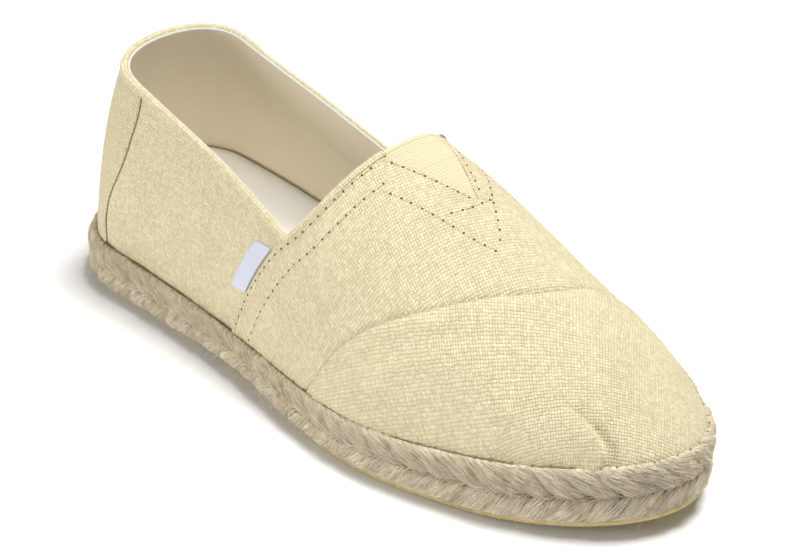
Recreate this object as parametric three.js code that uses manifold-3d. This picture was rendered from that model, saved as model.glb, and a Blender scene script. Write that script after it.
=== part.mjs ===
// Espadrille: canvas slip-on shoe on a rope sole. One shoe, for the right foot, empty and at rest.
// Millimetres, +Z up. The toe points along +X, the outer side of the foot faces -Y.
// Stations called `at` are measured along the shoe from the back of the heel.
import * as THREE from "three";
import Module from "manifold-3d";

const wasm = await Module();
wasm.setup();
const { Manifold, Mesh: SolidMesh } = wasm;

// ---- driving sizes -------------------------------------------------------------------------

const LENGTH = 256; // rope edge, heel to toe
const OUTSOLE = 3; // rubber sheet under the rope
const WALL = 1.9; // canvas with its lining
const GAP = 0.3; // clearance between neighbouring pieces
const FEATHER = 4.8; // the upper stands this far inside the rope edge
const HEEL_ROUND = 32; // length over which the heel closes
const HEEL_POWER = 2.1;
const TOE_FROM = 205; // station where the toe begins to close
const TOE_POWER = 2;
const HEEL_POLE = 33; // the ribs of the heel meet above this station
const TOE_POLE = 214; // the ribs of the toe meet above this station
const HEEL_LEAN = 12; // forward lean of the back of the heel, 60 mm above the rope
const THROAT = 139.5; // front end of the foot opening
const GORE = { tip: 165, middle: 4, half: 12, sunk: 0.6, thick: 1.1 };
const AROUND = 96; // stations round the shoe
const UP = 14; // stations from the rope to the ridge

// Sole outline seen from above: half width and the sideways place of the centre line.
const OUTLINE = [
  { at: 0, half: 33.4 },
  { at: 32, half: 33.6 },
  { at: 70, half: 34.8 },
  { at: 110, half: 38.6 },
  { at: 150, half: 45.2 },
  { at: 180, half: 46.6 },
  { at: 205, half: 43.6 },
  { at: 230, half: 39.8 },
  { at: 256, half: 37 },
];
const CENTRE = [
  { at: 0, side: 0 },
  { at: 60, side: -0.6 },
  { at: 110, side: -2.4 },
  { at: 150, side: -3.2 },
  { at: 180, side: -0.7 },
  { at: 205, side: 2.6 },
  { at: 230, side: 4.4 },
  { at: 256, side: 5.2 },
];

// Heights over the floor: the tread (arch and toe spring) and the top of the rope.
const GROUND = [
  { at: 0, rise: 0 },
  { at: 62, rise: 0 },
  { at: 96, rise: 1.4 },
  { at: 130, rise: 0 },
  { at: 188, rise: 0 },
  { at: 205, rise: 0.4 },
  { at: 222, rise: 1.6 },
  { at: 240, rise: 3.7 },
  { at: 256, rise: 6.3 },
];
const PLATFORM = [
  { at: 0, top: 17 },
  { at: 45, top: 15 },
  { at: 90, top: 13.7 },
  { at: 140, top: 14.4 },
  { at: 190, top: 17 },
  { at: 256, top: 24.5 },
];

// Edge of the rope from below upwards: two plaited lobes with a valley between them.
const ROPE_EDGE = [
  { share: 0, inset: 2.4 },
  { share: 0.12, inset: 0.7 },
  { share: 0.28, inset: 0.2 },
  { share: 0.42, inset: 0.8 },
  { share: 0.5, inset: 1.5 },
  { share: 0.58, inset: 0.8 },
  { share: 0.74, inset: 0 },
  { share: 0.9, inset: 0.7 },
  { share: 1, inset: 2.6 },
];
const OUTSOLE_EDGE = [
  { share: 0, inset: 2.6 },
  { share: 0.25, inset: 2.1 },
  { share: 1, inset: 1.9 },
];
// Insole: thickness of the pad, rise of its cupped rim, and how much of that rise is left further in.
const PAD = [
  { at: 0, thick: 6 },
  { at: 60, thick: 6 },
  { at: 110, thick: 5 },
  { at: 150, thick: 4 },
  { at: 190, thick: 3.2 },
  { at: 256, thick: 3 },
];
const CUP = [
  { at: 0, rise: 11.5 },
  { at: 70, rise: 11 },
  { at: 110, rise: 6 },
  { at: 150, rise: 2 },
  { at: 190, rise: 0.8 },
  { at: 256, rise: 0.5 },
];
const BED = [
  { inset: 7.1, keep: 1 },
  { inset: 8.2, keep: 0.96 },
  { inset: 10, keep: 0.7 },
  { inset: 12.5, keep: 0.42 },
  { inset: 16, keep: 0.19 },
  { inset: 20.5, keep: 0.05 },
  { inset: 25, keep: 0 },
];

// Form of the foot: height of the ridge, its sideways place, and the fullness of the two sides.
const LAST = [
  { at: 0, ceiling: 116, ridge: 0, outer: 2.6, inner: 2.6, crown: 2.6 },
  { at: 60, ceiling: 110, ridge: 0, outer: 2.6, inner: 2.6, crown: 2.6 },
  { at: 112, ceiling: 95.5, ridge: 1.5, outer: 2.1, inner: 2.2, crown: 2.4 },
  { at: 135, ceiling: 87, ridge: 3.2, outer: 1.7, inner: 2, crown: 2.4 },
  { at: 155, ceiling: 79, ridge: 4.4, outer: 1.6, inner: 1.9, crown: 2.3 },
  { at: 175, ceiling: 70, ridge: 5, outer: 1.65, inner: 1.8, crown: 2.1 },
  { at: 195, ceiling: 60, ridge: 5.2, outer: 1.7, inner: 1.7, crown: 2 },
  { at: 215, ceiling: 49.8, ridge: 5.2, outer: 1.8, inner: 1.65, crown: 2 },
  { at: 235, ceiling: 41, ridge: 5.2, outer: 1.9, inner: 1.65, crown: 2 },
  { at: 252, ceiling: 34.5, ridge: 5.2, outer: 1.9, inner: 1.65, crown: 2 },
];

// Top line of the foot opening, seen from the side.
const COLLAR = [
  { at: 0, top: 88 },
  { at: 14, top: 86 },
  { at: 40, top: 78.8 },
  { at: 80, top: 69 },
  { at: 119, top: 57 },
];
const THROAT_EDGE = [
  { at: 119, top: 57 },
  { at: 124, top: 62.5 },
  { at: 132, top: 76 },
  { at: 139.5, top: 91 },
];

// Sewn ribbon on the outer side: ends of its middle line and its width.
const TAG = { top: [109.8, 51.2], foot: [99, 32.2], width: 7, thick: 0.6 };

// ---- curves --------------------------------------------------------------------------------

/** Natural cubic spline through one column of a table; every row has its station in `at`. */
function curve(rows, column) {
  const x = rows.map((row) => row.at);
  const y = rows.map((row) => row[column]);
  const last = x.length - 1;
  const bend = x.map(() => 0);
  const share = x.map(() => 0);
  for (let i = 1; i < last; i += 1) {
    const back = x[i] - x[i - 1];
    const ahead = x[i + 1] - x[i];
    const turn = (y[i + 1] - y[i]) / ahead - (y[i] - y[i - 1]) / back;
    const pivot = 2 * (back + ahead) - back * share[i - 1];
    share[i] = ahead / pivot;
    bend[i] = (6 * turn - back * bend[i - 1]) / pivot;
  }
  for (let i = last - 1; i > 0; i -= 1) bend[i] -= share[i] * bend[i + 1];
  return (station) => {
    const t = Math.min(Math.max(station, x[0]), x[last]);
    let k = 0;
    while (k < last - 1 && t >= x[k + 1]) k += 1;
    const span = x[k + 1] - x[k];
    const v = (t - x[k]) / span;
    const u = 1 - v;
    const curl = ((u ** 3 - u) * bend[k] + (v ** 3 - v) * bend[k + 1]) * (span ** 2 / 6);
    return u * y[k] + v * y[k + 1] + curl;
  };
}

const half = curve(OUTLINE, "half");
const centre = curve(CENTRE, "side");
const tread = curve(GROUND, "rise");
const ground = (x) => Math.max(tread(x), 0);
const platform = curve(PLATFORM, "top");
const collarTop = curve(COLLAR, "top");
const throatTop = curve(THROAT_EDGE, "top");
const collar = (x) => (x < THROAT_EDGE[0].at ? collarTop(x) : throatTop(x));
const ceiling = curve(LAST, "ceiling");
const ridge = curve(LAST, "ridge");
const outer = curve(LAST, "outer");
const inner = curve(LAST, "inner");
const crown = curve(LAST, "crown");

const clamp = (value, low, high) => Math.min(Math.max(value, low), high);

/** Length station of the angle phi: 0 at the back of the heel, pi at the tip of the toe. */
const station = (phi) => (LENGTH / 2) * (1 - Math.cos(phi));

/** Sole edge at the angle phi; the outer side of the foot comes first, then the inner side. */
function edge(phi) {
  const x = station(phi);
  const heel = clamp((HEEL_ROUND - x) / HEEL_ROUND, 0, 1);
  const toe = clamp((x - TOE_FROM) / (LENGTH - TOE_FROM), 0, 1);
  const round = (1 - heel ** HEEL_POWER) ** (1 / HEEL_POWER) * (1 - toe ** TOE_POWER) ** (1 / TOE_POWER);
  const side = Math.sin(phi) >= 0 ? -1 : 1;
  return [x, centre(x) + side * half(x) * round];
}

/** Sole edge moved inwards, square to itself. */
function outline(phi, inset) {
  const [x, y] = edge(phi);
  const [ax, ay] = edge(phi - 0.001);
  const [bx, by] = edge(phi + 0.001);
  const length = Math.hypot(bx - ax, by - ay);
  return [x - (inset * (by - ay)) / length, y + (inset * (bx - ax)) / length];
}

/**
 * Outside of the upper. Every rib starts on the rope at phi and climbs to the ridge as theta
 * runs from 0 to a quarter turn. `inside` gives the same form, smaller by that wall thickness.
 */
function last(phi, theta, inside = 0) {
  const [fx, fy] = outline(phi, FEATHER + inside);
  const tx = clamp(station(phi), HEEL_POLE, TOE_POLE);
  const ty = ridge(tx);
  const turn = clamp((0.5 + 0.5 * Math.sin(phi) - 0.3) / 0.4, 0, 1);
  const lateral = turn * turn * (3 - 2 * turn);
  const fullness = lateral * outer(fx) + (1 - lateral) * inner(fx);
  const out = Math.max(Math.cos(theta), 0) ** (2 / crown(fx));
  const up = Math.sin(theta) ** (2 / fullness);
  const foot = platform(fx) + GAP;
  const x = tx + (fx - tx) * out;
  const y = ty + (fy - ty) * out;
  const z = foot + (ceiling(x) - inside - foot) * up;
  const lean = HEEL_LEAN * clamp(1 - fx / 70, 0, 1) ** 1.5 * (Math.max(z - foot, 0) / 60) ** 1.3;
  return [x + lean, y, z];
}

// ---- solids --------------------------------------------------------------------------------

/** Closed body from points and triangles, turned so that its faces look outwards. */
function body(points, faces) {
  const volume = faces.reduce((sum, [a, b, c]) => {
    const [p, q, r] = [points[a], points[b], points[c]];
    return (
      sum +
      p[0] * (q[1] * r[2] - q[2] * r[1]) +
      p[1] * (q[2] * r[0] - q[0] * r[2]) +
      p[2] * (q[0] * r[1] - q[1] * r[0])
    );
  }, 0);
  const turned = volume < 0 ? faces.map(([a, b, c]) => [a, c, b]) : faces;
  return { points, faces: turned };
}

/** Body from equal closed rings laid one after another, with a fan over each end. */
function loft(rings) {
  const count = rings[0].length;
  const faces = [];
  rings.slice(1).forEach((_, row) => {
    for (let i = 0; i < count; i += 1) {
      const j = (i + 1) % count;
      const [a, b] = [row * count + i, row * count + j];
      faces.push([a, b, b + count], [a, b + count, a + count]);
    }
  });
  const end = (rings.length - 1) * count;
  for (let i = 1; i + 1 < count; i += 1) faces.push([0, i + 1, i], [end, end + i, end + i + 1]);
  return body(rings.flat(), faces);
}

/** Faces over a ring that runs round the shoe, laid in bands from the outer side to the inner. */
function lid(first) {
  const faces = [];
  for (let i = 0; i < AROUND / 2; i += 1) {
    const [a, b] = [first + i, first + i + 1];
    const [c, d] = [first + AROUND - i - 1, first + ((AROUND - i) % AROUND)];
    if (b !== c) faces.push([a, b, c]);
    if (a !== d) faces.push([a, c, d]);
  }
  return faces;
}

/** Faces between two neighbouring rings round the shoe. */
function band(lower, upper) {
  const faces = [];
  for (let i = 0; i < AROUND; i += 1) {
    const j = (i + 1) % AROUND;
    faces.push([lower + i, lower + j, upper + j], [lower + i, upper + j, upper + i]);
  }
  return faces;
}

const angles = Array.from({ length: AROUND }, (_, i) => (2 * Math.PI * i) / AROUND);

/** Layer of the sole between two height curves, its edge shaped by a table of insets. */
function layer(rows, below, above) {
  const points = rows.flatMap(({ share, inset }) =>
    angles.map((phi) => {
      const [x, y] = outline(phi, inset);
      return [x, y, below(x) + share * (above(x) - below(x))];
    }),
  );
  const top = (rows.length - 1) * AROUND;
  const walls = rows.slice(1).flatMap((_, k) => band(k * AROUND, (k + 1) * AROUND));
  const floor = lid(0).map(([a, b, c]) => [a, c, b]);
  return body(points, [...walls, ...floor, ...lid(top)]);
}

// The insole: a flat underside, an upright edge, then rings that sink from the cupped rim to the pad.
function footbed() {
  const rings = [{ inset: BED[0].inset, keep: null }, ...BED];
  const points = rings.flatMap(({ inset, keep }) =>
    angles.map((phi) => {
      const [x, y] = outline(phi, inset);
      const top = keep === null ? 0 : pad(x) + keep * cup(x);
      return [x, y, insoleFoot(x) + top];
    }),
  );
  const top = (rings.length - 1) * AROUND;
  const walls = rings.slice(1).flatMap((_, k) => band(k * AROUND, (k + 1) * AROUND));
  const floor = lid(0).map(([a, b, c]) => [a, c, b]);
  return body(points, [...walls, ...floor, ...lid(top)]);
}

/** Solid foot form, closed over the ridge; `skirt` lengthens it downwards. */
function dome(inside, skirt = 0) {
  const rows = Array.from({ length: UP }, (_, k) => (k / UP) ** 1.15 * (Math.PI / 2));
  const points = rows.flatMap((theta) => angles.map((phi) => last(phi, theta, inside)));
  points.slice(0, AROUND).forEach((point) => {
    point[2] -= skirt;
  });
  const crest = points.length;
  const heel = angles.findIndex((phi) => station(phi) > HEEL_POLE) - 1;
  const toe = angles.findIndex((phi) => station(phi) >= TOE_POLE);
  for (let k = heel; k <= toe; k += 1) points.push(last(angles[k], Math.PI / 2, inside));
  const over = (i) => crest + clamp(Math.min(i, AROUND - i), heel, toe) - heel;
  const faces = lid(0).map(([a, b, c]) => [a, c, b]);
  for (let k = 0; k + 1 < UP; k += 1) faces.push(...band(k * AROUND, (k + 1) * AROUND));
  const rim = (UP - 1) * AROUND;
  for (let i = 0; i < AROUND; i += 1) {
    const j = (i + 1) % AROUND;
    faces.push([rim + i, rim + j, over(j)]);
    if (over(i) !== over(j)) faces.push([rim + i, over(j), over(i)]);
  }
  return body(points, faces);
}

/** Everything above the top line, back from the front end of the opening. */
function aboveCollar() {
  const stations = [-20, 0, 6, 12, 18, 24, 30, 37, 45, 54, 64, 75, 87, 99, 108, 114, 117, 119];
  const throat = [121, 123, 125, 127, 129, 131, 133, 135, 137, THROAT];
  const rings = [...stations, ...throat].map((x) => [
    [x, -90, collar(x)],
    [x, 90, collar(x)],
    [x, 90, 160],
    [x, -90, 160],
  ]);
  return loft(rings);
}

/** Upright wedge over the throat with its tip towards the toe. */
function wedge(clearance) {
  const slope = GORE.half / (GORE.tip - THROAT);
  const tip = GORE.tip - clearance / Math.sin(Math.atan(slope));
  const back = THROAT - 12;
  const wide = slope * (tip - back);
  const ring = (z) => [
    [back, GORE.middle - wide, z],
    [tip, GORE.middle, z],
    [back, GORE.middle + wide, z],
  ];
  return loft([ring(40), ring(130)]);
}

/** Point of the outer side at a given station and height, with its outward direction. */
function onSide(x, z, proud) {
  const solve = (low, high, value) => {
    let [a, b] = [low, high];
    for (let i = 0; i < 40; i += 1) {
      const m = (a + b) / 2;
      if (value(m) < 0) a = m;
      else b = m;
    }
    return (a + b) / 2;
  };
  const height = (phi) => solve(0, Math.PI / 2, (theta) => last(phi, theta)[2] - z);
  const phi = solve(0.6, 2.4, (angle) => last(angle, height(angle))[0] - x);
  const theta = height(phi);
  const at = (a, b) => new THREE.Vector3(...last(a, b));
  const along = at(phi + 0.01, theta).sub(at(phi - 0.01, theta));
  const climb = at(phi, theta + 0.01).sub(at(phi, theta - 0.01));
  const out = along.cross(climb).normalize();
  return at(phi, theta).addScaledVector(out, proud).toArray();
}

/** Ribbon lying on the outer side. */
function ribbon() {
  const [x0, z0] = TAG.foot;
  const [x1, z1] = TAG.top;
  const length = Math.hypot(x1 - x0, z1 - z0);
  const [ax, az] = [(x1 - x0) / length, (z1 - z0) / length];
  const rings = [];
  for (let k = 0; k <= 8; k += 1) {
    const run = (length * k) / 8;
    const place = (side, proud) => onSide(x0 + ax * run + az * side, z0 + az * run - ax * side, proud);
    const sides = [-0.5, -0.25, 0, 0.25, 0.5].map((share) => share * TAG.width);
    const under = sides.map((side) => place(side, GAP + 0.1));
    const over = sides.map((side) => place(side, GAP + 0.1 + TAG.thick)).reverse();
    rings.push([...under, ...over]);
  }
  return loft(rings);
}

const solid = ({ points, faces }) =>
  new Manifold(
    new SolidMesh({
      numProp: 3,
      vertProperties: new Float32Array(points.flat()),
      triVerts: new Uint32Array(faces.flat()),
    }),
  );

// ---- pieces --------------------------------------------------------------------------------

const rubberTop = (x) => ground(x) + OUTSOLE;
const ropeFoot = (x) => ground(x) + OUTSOLE + GAP;
const insoleFoot = (x) => platform(x) + GAP;
const pad = curve(PAD, "thick");
const cup = curve(CUP, "rise");

const opening = solid(aboveCollar());
const shell = solid(dome(0)).subtract(solid(dome(WALL, 6))).subtract(opening);
const web = solid(dome(GORE.sunk)).subtract(solid(dome(GORE.sunk + GORE.thick, 6)));

const pieces = {
  outsole: solid(layer(OUTSOLE_EDGE, ground, rubberTop)),
  midsole: solid(layer(ROPE_EDGE, ropeFoot, platform)),
  insole: solid(footbed()).intersect(solid(dome(WALL + 0.4, 2))),
  upper: shell.subtract(solid(wedge(0))),
  gore: web.subtract(opening).intersect(solid(wedge(GAP))),
  side_tag: solid(ribbon()),
};

const finish = {
  outsole: { color: 0xb9ad7f, roughness: 0.8 },
  midsole: { color: 0xb29c72, roughness: 0.95 },
  insole: { color: 0xd8d0b8, roughness: 0.9 },
  upper: { color: 0xe8dcb8, roughness: 0.9 },
  gore: { color: 0xf1e6c4, roughness: 0.85 },
  side_tag: { color: 0xf4f3ee, roughness: 0.7 },
};

// ---- assembly: the middle of the footprint is the origin, the floor is at zero ---------------

const reach = new THREE.Box3();
for (const piece of Object.values(pieces)) {
  const { min, max } = piece.boundingBox();
  reach.union(new THREE.Box3(new THREE.Vector3(...min), new THREE.Vector3(...max)));
}
const middle = reach.getCenter(new THREE.Vector3());

const group = new THREE.Group();
group.name = "espadrille";
for (const [name, piece] of Object.entries(pieces)) {
  const mesh = piece.translate([-middle.x, -middle.y, -reach.min.z]).getMesh();
  const geometry = new THREE.BufferGeometry();
  geometry.setAttribute("position", new THREE.BufferAttribute(mesh.vertProperties, 3));
  geometry.setIndex(new THREE.BufferAttribute(mesh.triVerts, 1));
  geometry.computeVertexNormals();
  const node = new THREE.Mesh(geometry, new THREE.MeshStandardMaterial(finish[name]));
  node.name = name;
  group.add(node);
}

export default group;
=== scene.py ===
# %% [markdown]
# # A canvas slip-on with a plaited rope sole
# One right shoe. Its parts, from the ground up, are a thin rubber sheet, a jute plait round a jute core, a cupped
# foam footbed, and a canvas upper of five panels with an elastic wedge at the throat. The solid model is the frame:
# it gives every place and size. Here each soft part is made again as cloth, rope or thread.

from math import pi, radians

import bmesh
import bpy
import numpy as np
from mathutils import Matrix, Vector


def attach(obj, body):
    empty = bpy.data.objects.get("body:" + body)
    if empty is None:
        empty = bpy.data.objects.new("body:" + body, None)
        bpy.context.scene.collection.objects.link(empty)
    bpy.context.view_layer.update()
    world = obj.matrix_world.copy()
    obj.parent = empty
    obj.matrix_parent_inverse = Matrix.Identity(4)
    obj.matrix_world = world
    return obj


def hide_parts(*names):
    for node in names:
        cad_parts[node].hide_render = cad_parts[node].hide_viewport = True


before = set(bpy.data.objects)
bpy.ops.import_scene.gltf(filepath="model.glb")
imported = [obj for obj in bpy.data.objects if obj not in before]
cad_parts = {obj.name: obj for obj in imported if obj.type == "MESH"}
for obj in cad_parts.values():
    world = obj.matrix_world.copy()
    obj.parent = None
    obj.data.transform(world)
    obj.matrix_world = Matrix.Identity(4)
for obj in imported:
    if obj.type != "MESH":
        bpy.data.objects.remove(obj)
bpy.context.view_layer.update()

# %% [markdown]
# ## The shoe's measures
# A shoemaker keeps a shoe as a handful of measures taken at stations along its length. The same short tables are
# used here, in millimetres from the back of the heel, and a natural cubic through each one fills in between. This
# is better than placing points by hand, because every panel, seam and stitch can ask the same tables where it is.

# %% Smooth curves through short tables
def curve(rows):
    """Natural cubic through rows of (station, value): second derivatives are zero at both ends and join smoothly
    between."""
    at, value = np.array(rows, float).T
    step, count = np.diff(at), len(at)
    slope = np.diff(value) / step
    side, want = np.eye(count), np.zeros(count)
    for i in range(1, count - 1):
        side[i, i - 1:i + 2] = step[i - 1], 2 * (step[i - 1] + step[i]), step[i]
        want[i] = 6 * (slope[i] - slope[i - 1])
    bend = np.linalg.solve(side, want)

    def read(x):
        x = np.clip(x, at[0], at[-1])
        i = np.clip(np.searchsorted(at, x, "right") - 1, 0, count - 2)
        before, after = (at[i + 1] - x) / step[i], (x - at[i]) / step[i]
        curl = (before ** 3 - before) * bend[i] + (after ** 3 - after) * bend[i + 1]
        return before * value[i] + after * value[i + 1] + curl * step[i] ** 2 / 6
    return read


# length, the cloth's step in from the rope's edge, thickness of the rubber and of the wall, gap filled by glue
LENGTH, FEATHER, OUTSOLE, WALL, GLUE = 256.0, 4.8, 3.0, 1.9, 0.3
# stations between which the ridge and centre line run, how far the heel leans in, and of the throat's top
HEEL_POLE, TOE_POLE, HEEL_LEAN, THROAT = 33.0, 214.0, 12.0, 139.5
# station where the collar turns up into the throat, and how long the round of the heel and of the toe are in plan
JOIN, HEEL_ROUND, TOE_ROUND = 119.0, 32, 51
# plan: half width and centre line
half = curve([(0, 33.4), (32, 33.6), (70, 34.8), (110, 38.6), (150, 45.2), (180, 46.6), (205, 43.6), (230, 39.8),
              (256, 37)])
centre = curve([(0, 0), (60, -0.6), (110, -2.4), (150, -3.2), (180, -0.7), (205, 2.6), (230, 4.4), (256, 5.2)])
# side view: underside with its arch and toe spring, and the platform under the foot
rise = curve([(0, 0), (62, 0), (96, 1.4), (130, 0), (188, 0), (205, 0.4), (222, 1.6), (240, 3.7), (256, 6.3)])
platform = curve([(0, 17), (45, 15), (90, 13.7), (140, 14.4), (190, 17), (256, 24.5)])
# station, height of the ridge, its place across, fullness of the outer and inner wall, and of the plan
LAST = [(0, 116, 0, 2.6, 2.6, 2.6), (60, 110, 0, 2.6, 2.6, 2.6), (112, 95.5, 1.5, 2.1, 2.2, 2.4),
        (135, 87, 3.2, 1.7, 2, 2.4), (155, 79, 4.4, 1.6, 1.9, 2.3), (175, 70, 5, 1.65, 1.8, 2.1),
        (195, 60, 5.2, 1.7, 1.7, 2), (215, 49.8, 5.2, 1.8, 1.65, 2), (235, 41, 5.2, 1.9, 1.65, 2),
        (252, 34.5, 5.2, 1.9, 1.65, 2)]
ceiling, ridge, outer_full, inner_full, crown = (curve([(row[0], row[k]) for row in LAST]) for k in range(1, 6))
collar_low = curve([(0, 88), (14, 86), (40, 78.8), (80, 69), (JOIN, 57)])
throat_edge = curve([(JOIN, 57), (124, 62.5), (132, 76), (THROAT, 91)])
print("height of the last at the ball", round(float(ceiling(180)), 1), "mm")

# %% [markdown]
# ## The last
# A shoe takes its shape from the last, the foot-shaped form it is pulled over. One function gives a point on it
# from two angles: phi goes once round the plan outline, from the heel by the outer side to the toe and back, and
# theta climbs from the sole's edge at 0 to the ridge at a quarter turn. A last could also be sculpted, or lofted
# through drawn sections. A formula is chosen because all cloth panels can then be grids of the same two angles, and
# lie on each other without gaps.

# %% Plan of the sole
def smooth(low, high, x):
    """0 below low, 1 above high, and an S between."""
    t = np.clip((x - low) / (high - low), 0, 1)
    return t * t * (3 - 2 * t)


def unit(v):
    """Vectors divided by their own length."""
    return v / np.maximum(np.linalg.norm(v, axis=-1, keepdims=True), 1e-12)


def station(phi):
    """Distance from the back of the heel: half the length times one minus cosine."""
    return LENGTH / 2 * (1 - np.cos(phi))


def phi_of(x):
    """Outer-side phi at a distance from the back of the heel."""
    return np.arccos(1 - 2 * x / LENGTH)


def edge(phi):
    """Plan outline: half width either side of a bent centre line, rounded at heel and toe by power curves."""
    x = station(phi)
    heel, toe = np.clip((HEEL_ROUND - x) / HEEL_ROUND, 0, 1), np.clip((x - LENGTH + TOE_ROUND) / TOE_ROUND, 0, 1)
    width = half(x) * (1 - heel ** 2.1) ** (1 / 2.1) * (1 - toe ** 2) ** 0.5
    return np.stack([x, centre(x) + np.where(np.sin(phi) >= 0, -1, 1) * width], -1)


def outline(phi, inset):
    """The plan outline moved inwards, square to itself, by inset."""
    along = edge(phi + 1e-3) - edge(phi - 1e-3)
    along /= np.linalg.norm(along, axis=-1, keepdims=True)
    return edge(phi) + np.asarray(inset)[..., None] * np.stack([-along[..., 1], along[..., 0]], -1)


def ground(x):
    """Height of the underside, never below the floor."""
    return np.maximum(rise(x), 0)


def heel_lean(x, height):
    """How far the back wall leans forwards at a height over the platform: a power of the height, fading out by
    station 70."""
    return HEEL_LEAN * np.clip(1 - x / 70, 0, 1) ** 1.5 * (height / 60) ** 1.3


round_phi = np.linspace(0, 2 * pi, 721)
sole_line = edge(round_phi)
MIDDLE = np.array([LENGTH / 2, (sole_line[:, 1].min() + sole_line[:, 1].max()) / 2, 0])
print("plan middle of the sole", MIDDLE, "sole width", np.ptp(sole_line[:, 1]))

# %% The surface that the upper is pulled over
def last(phi, theta):
    """Ribs from the feather line to the ridge: the plan goes in by a power of cos theta, the height up by a power
    of sin theta."""
    foot_line = outline(phi, np.full(np.shape(phi), FEATHER))
    fx, fy = foot_line[..., 0], foot_line[..., 1]
    tx = np.clip(station(phi), HEEL_POLE, TOE_POLE)
    ty = ridge(tx)
    side = np.clip((0.5 + 0.5 * np.sin(phi) - 0.3) / 0.4, 0, 1)
    side = side * side * (3 - 2 * side)
    full = side * outer_full(fx) + (1 - side) * inner_full(fx)
    out, up = np.maximum(np.cos(theta), 0) ** (2 / crown(fx)), np.sin(theta) ** (2 / full)
    foot = platform(fx) + GLUE
    x, y = tx + (fx - tx) * out, ty + (fy - ty) * out
    z = foot + (ceiling(x) - foot) * up
    return np.stack([x + heel_lean(fx, np.maximum(z - foot, 0)), y, z], -1)


def skin(phi, theta):
    """Points of the last and their outward normals, from the cross product of small steps round and up."""
    phi, theta = np.broadcast_arrays(np.asarray(phi, float), np.asarray(theta, float))
    near = np.clip(theta, 0.03, pi / 2 - 0.03)
    across, up = last(phi + 1e-3, near) - last(phi - 1e-3, near), last(phi, near + 1e-3) - last(phi, near - 1e-3)
    tx = np.clip(station(phi), HEEL_POLE, TOE_POLE)
    slope = ceiling(tx + 0.5) - ceiling(tx - 0.5)
    crest = unit(np.stack([-slope, 0 * tx, 1 + 0 * tx], -1))
    share = smooth(pi / 2 - 0.12, pi / 2, theta)[..., None]
    return last(phi, theta), unit(unit(np.cross(across, up)) * (1 - share) + crest * share)


def top_angle(phi):
    """Theta where a rib meets the collar, found by halving."""
    low, high = np.zeros(np.shape(phi)), np.full(np.shape(phi), pi / 2)
    for _ in range(26):
        middle = (low + high) / 2
        p = last(phi, middle)
        collar = np.where(p[..., 0] < JOIN, collar_low(p[..., 0]), throat_edge(p[..., 0]))
        over = (p[..., 2] > collar) & (p[..., 0] <= THROAT)
        low, high = np.where(over, low, middle), np.where(over, middle, high)
    return (low + high) / 2


print("back of the heel", np.round(last(0.0, top_angle(0.0)), 1), "mm; front of the toe",
      np.round(last(pi, 0.0), 1), "mm")

# %% [markdown]
# ## Finding places on the last
# Seams are drawn as a few points in space, as chalk marks on a last would be. Each mark is pulled to the nearest
# point of the surface, which gives its two angles. Cloth also needs its own flat measure for the weave: here a
# point's flat place is its rib's top plus the length of cloth down the rib, as if the panel were unrolled. An
# unwrap by hand would do for one shoe, but it would have to be made again after every change of shape.

# %% Lines measured along their length
def measured(line):
    """Distance in mm along a line of points, from 0 at its start: the running sum of its steps."""
    return np.r_[0, np.cumsum(np.linalg.norm(np.diff(line, axis=0), axis=1))]


def read_along(at, far, line):
    """Points of a line at given distances along it."""
    return np.stack([np.interp(at, far, line[:, k]) for k in range(line.shape[1])], -1)


# %% Nearest place on the last
scan_phi, scan_theta = np.meshgrid(np.linspace(0, 2 * pi, 241)[:-1], np.linspace(0.02, pi / 2 - 0.02, 40),
                                   indexing="ij")
scan = last(scan_phi, scan_theta).reshape(-1, 3)


def onto(points):
    """Angles of the nearest points of the last: a coarse scan, then Gauss-Newton steps."""
    points = np.asarray(points, float)
    best = np.array([np.argmin(((scan - p) ** 2).sum(1)) for p in points])
    phi, theta = scan_phi.ravel()[best], scan_theta.ravel()[best]
    for _ in range(8):
        here = last(phi, theta)
        a, b = (last(phi + 1e-4, theta) - here) / 1e-4, (last(phi, theta + 1e-4) - here) / 1e-4
        gap = points - here
        aa, ab, bb, ag, bg = ((p * q).sum(-1) for p, q in ((a, a), (a, b), (b, b), (a, gap), (b, gap)))
        size = aa * bb - ab * ab + 1e-9
        phi = phi + np.clip((ag * bb - bg * ab) / size, -0.1, 0.1)
        theta = np.clip(theta + np.clip((bg * aa - ag * ab) / size, -0.1, 0.1), 0.0, pi / 2 - 1e-3)
    return phi, theta


# %% The flat measure of the cloth
rib_phi, rib_theta = np.linspace(0, 2 * pi, 361), np.linspace(0, pi / 2, 65)
rib_step = np.linalg.norm(np.diff(last(rib_phi[:, None], rib_theta[None] + 0 * rib_phi[:, None]), axis=1), axis=-1)
rib_drop = np.concatenate([np.cumsum(rib_step[:, ::-1], axis=1)[:, ::-1], np.zeros((361, 1))], axis=1)
edge_run = measured(outline(rib_phi, np.full(361, FEATHER)))


def unroll(phi, theta):
    """Flat place of a point of cloth in mm: the top of its rib, plus the drop down the rib in the rib's plan
    direction."""
    a, b = np.mod(phi, 2 * pi) / (2 * pi) * 360, theta / (pi / 2) * 64
    i, j = np.minimum(a.astype(int), 359), np.minimum(b.astype(int), 63)
    s, t = a - i, b - j
    drop = ((rib_drop[i, j] * (1 - s) + rib_drop[i + 1, j] * s) * (1 - t)
            + (rib_drop[i, j + 1] * (1 - s) + rib_drop[i + 1, j + 1] * s) * t)
    tx = np.clip(station(phi), HEEL_POLE, TOE_POLE)
    top = np.stack([tx, ridge(tx)], -1)
    return top + unit(outline(phi, np.full(np.shape(phi), FEATHER)) - top) * drop[..., None]


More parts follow.
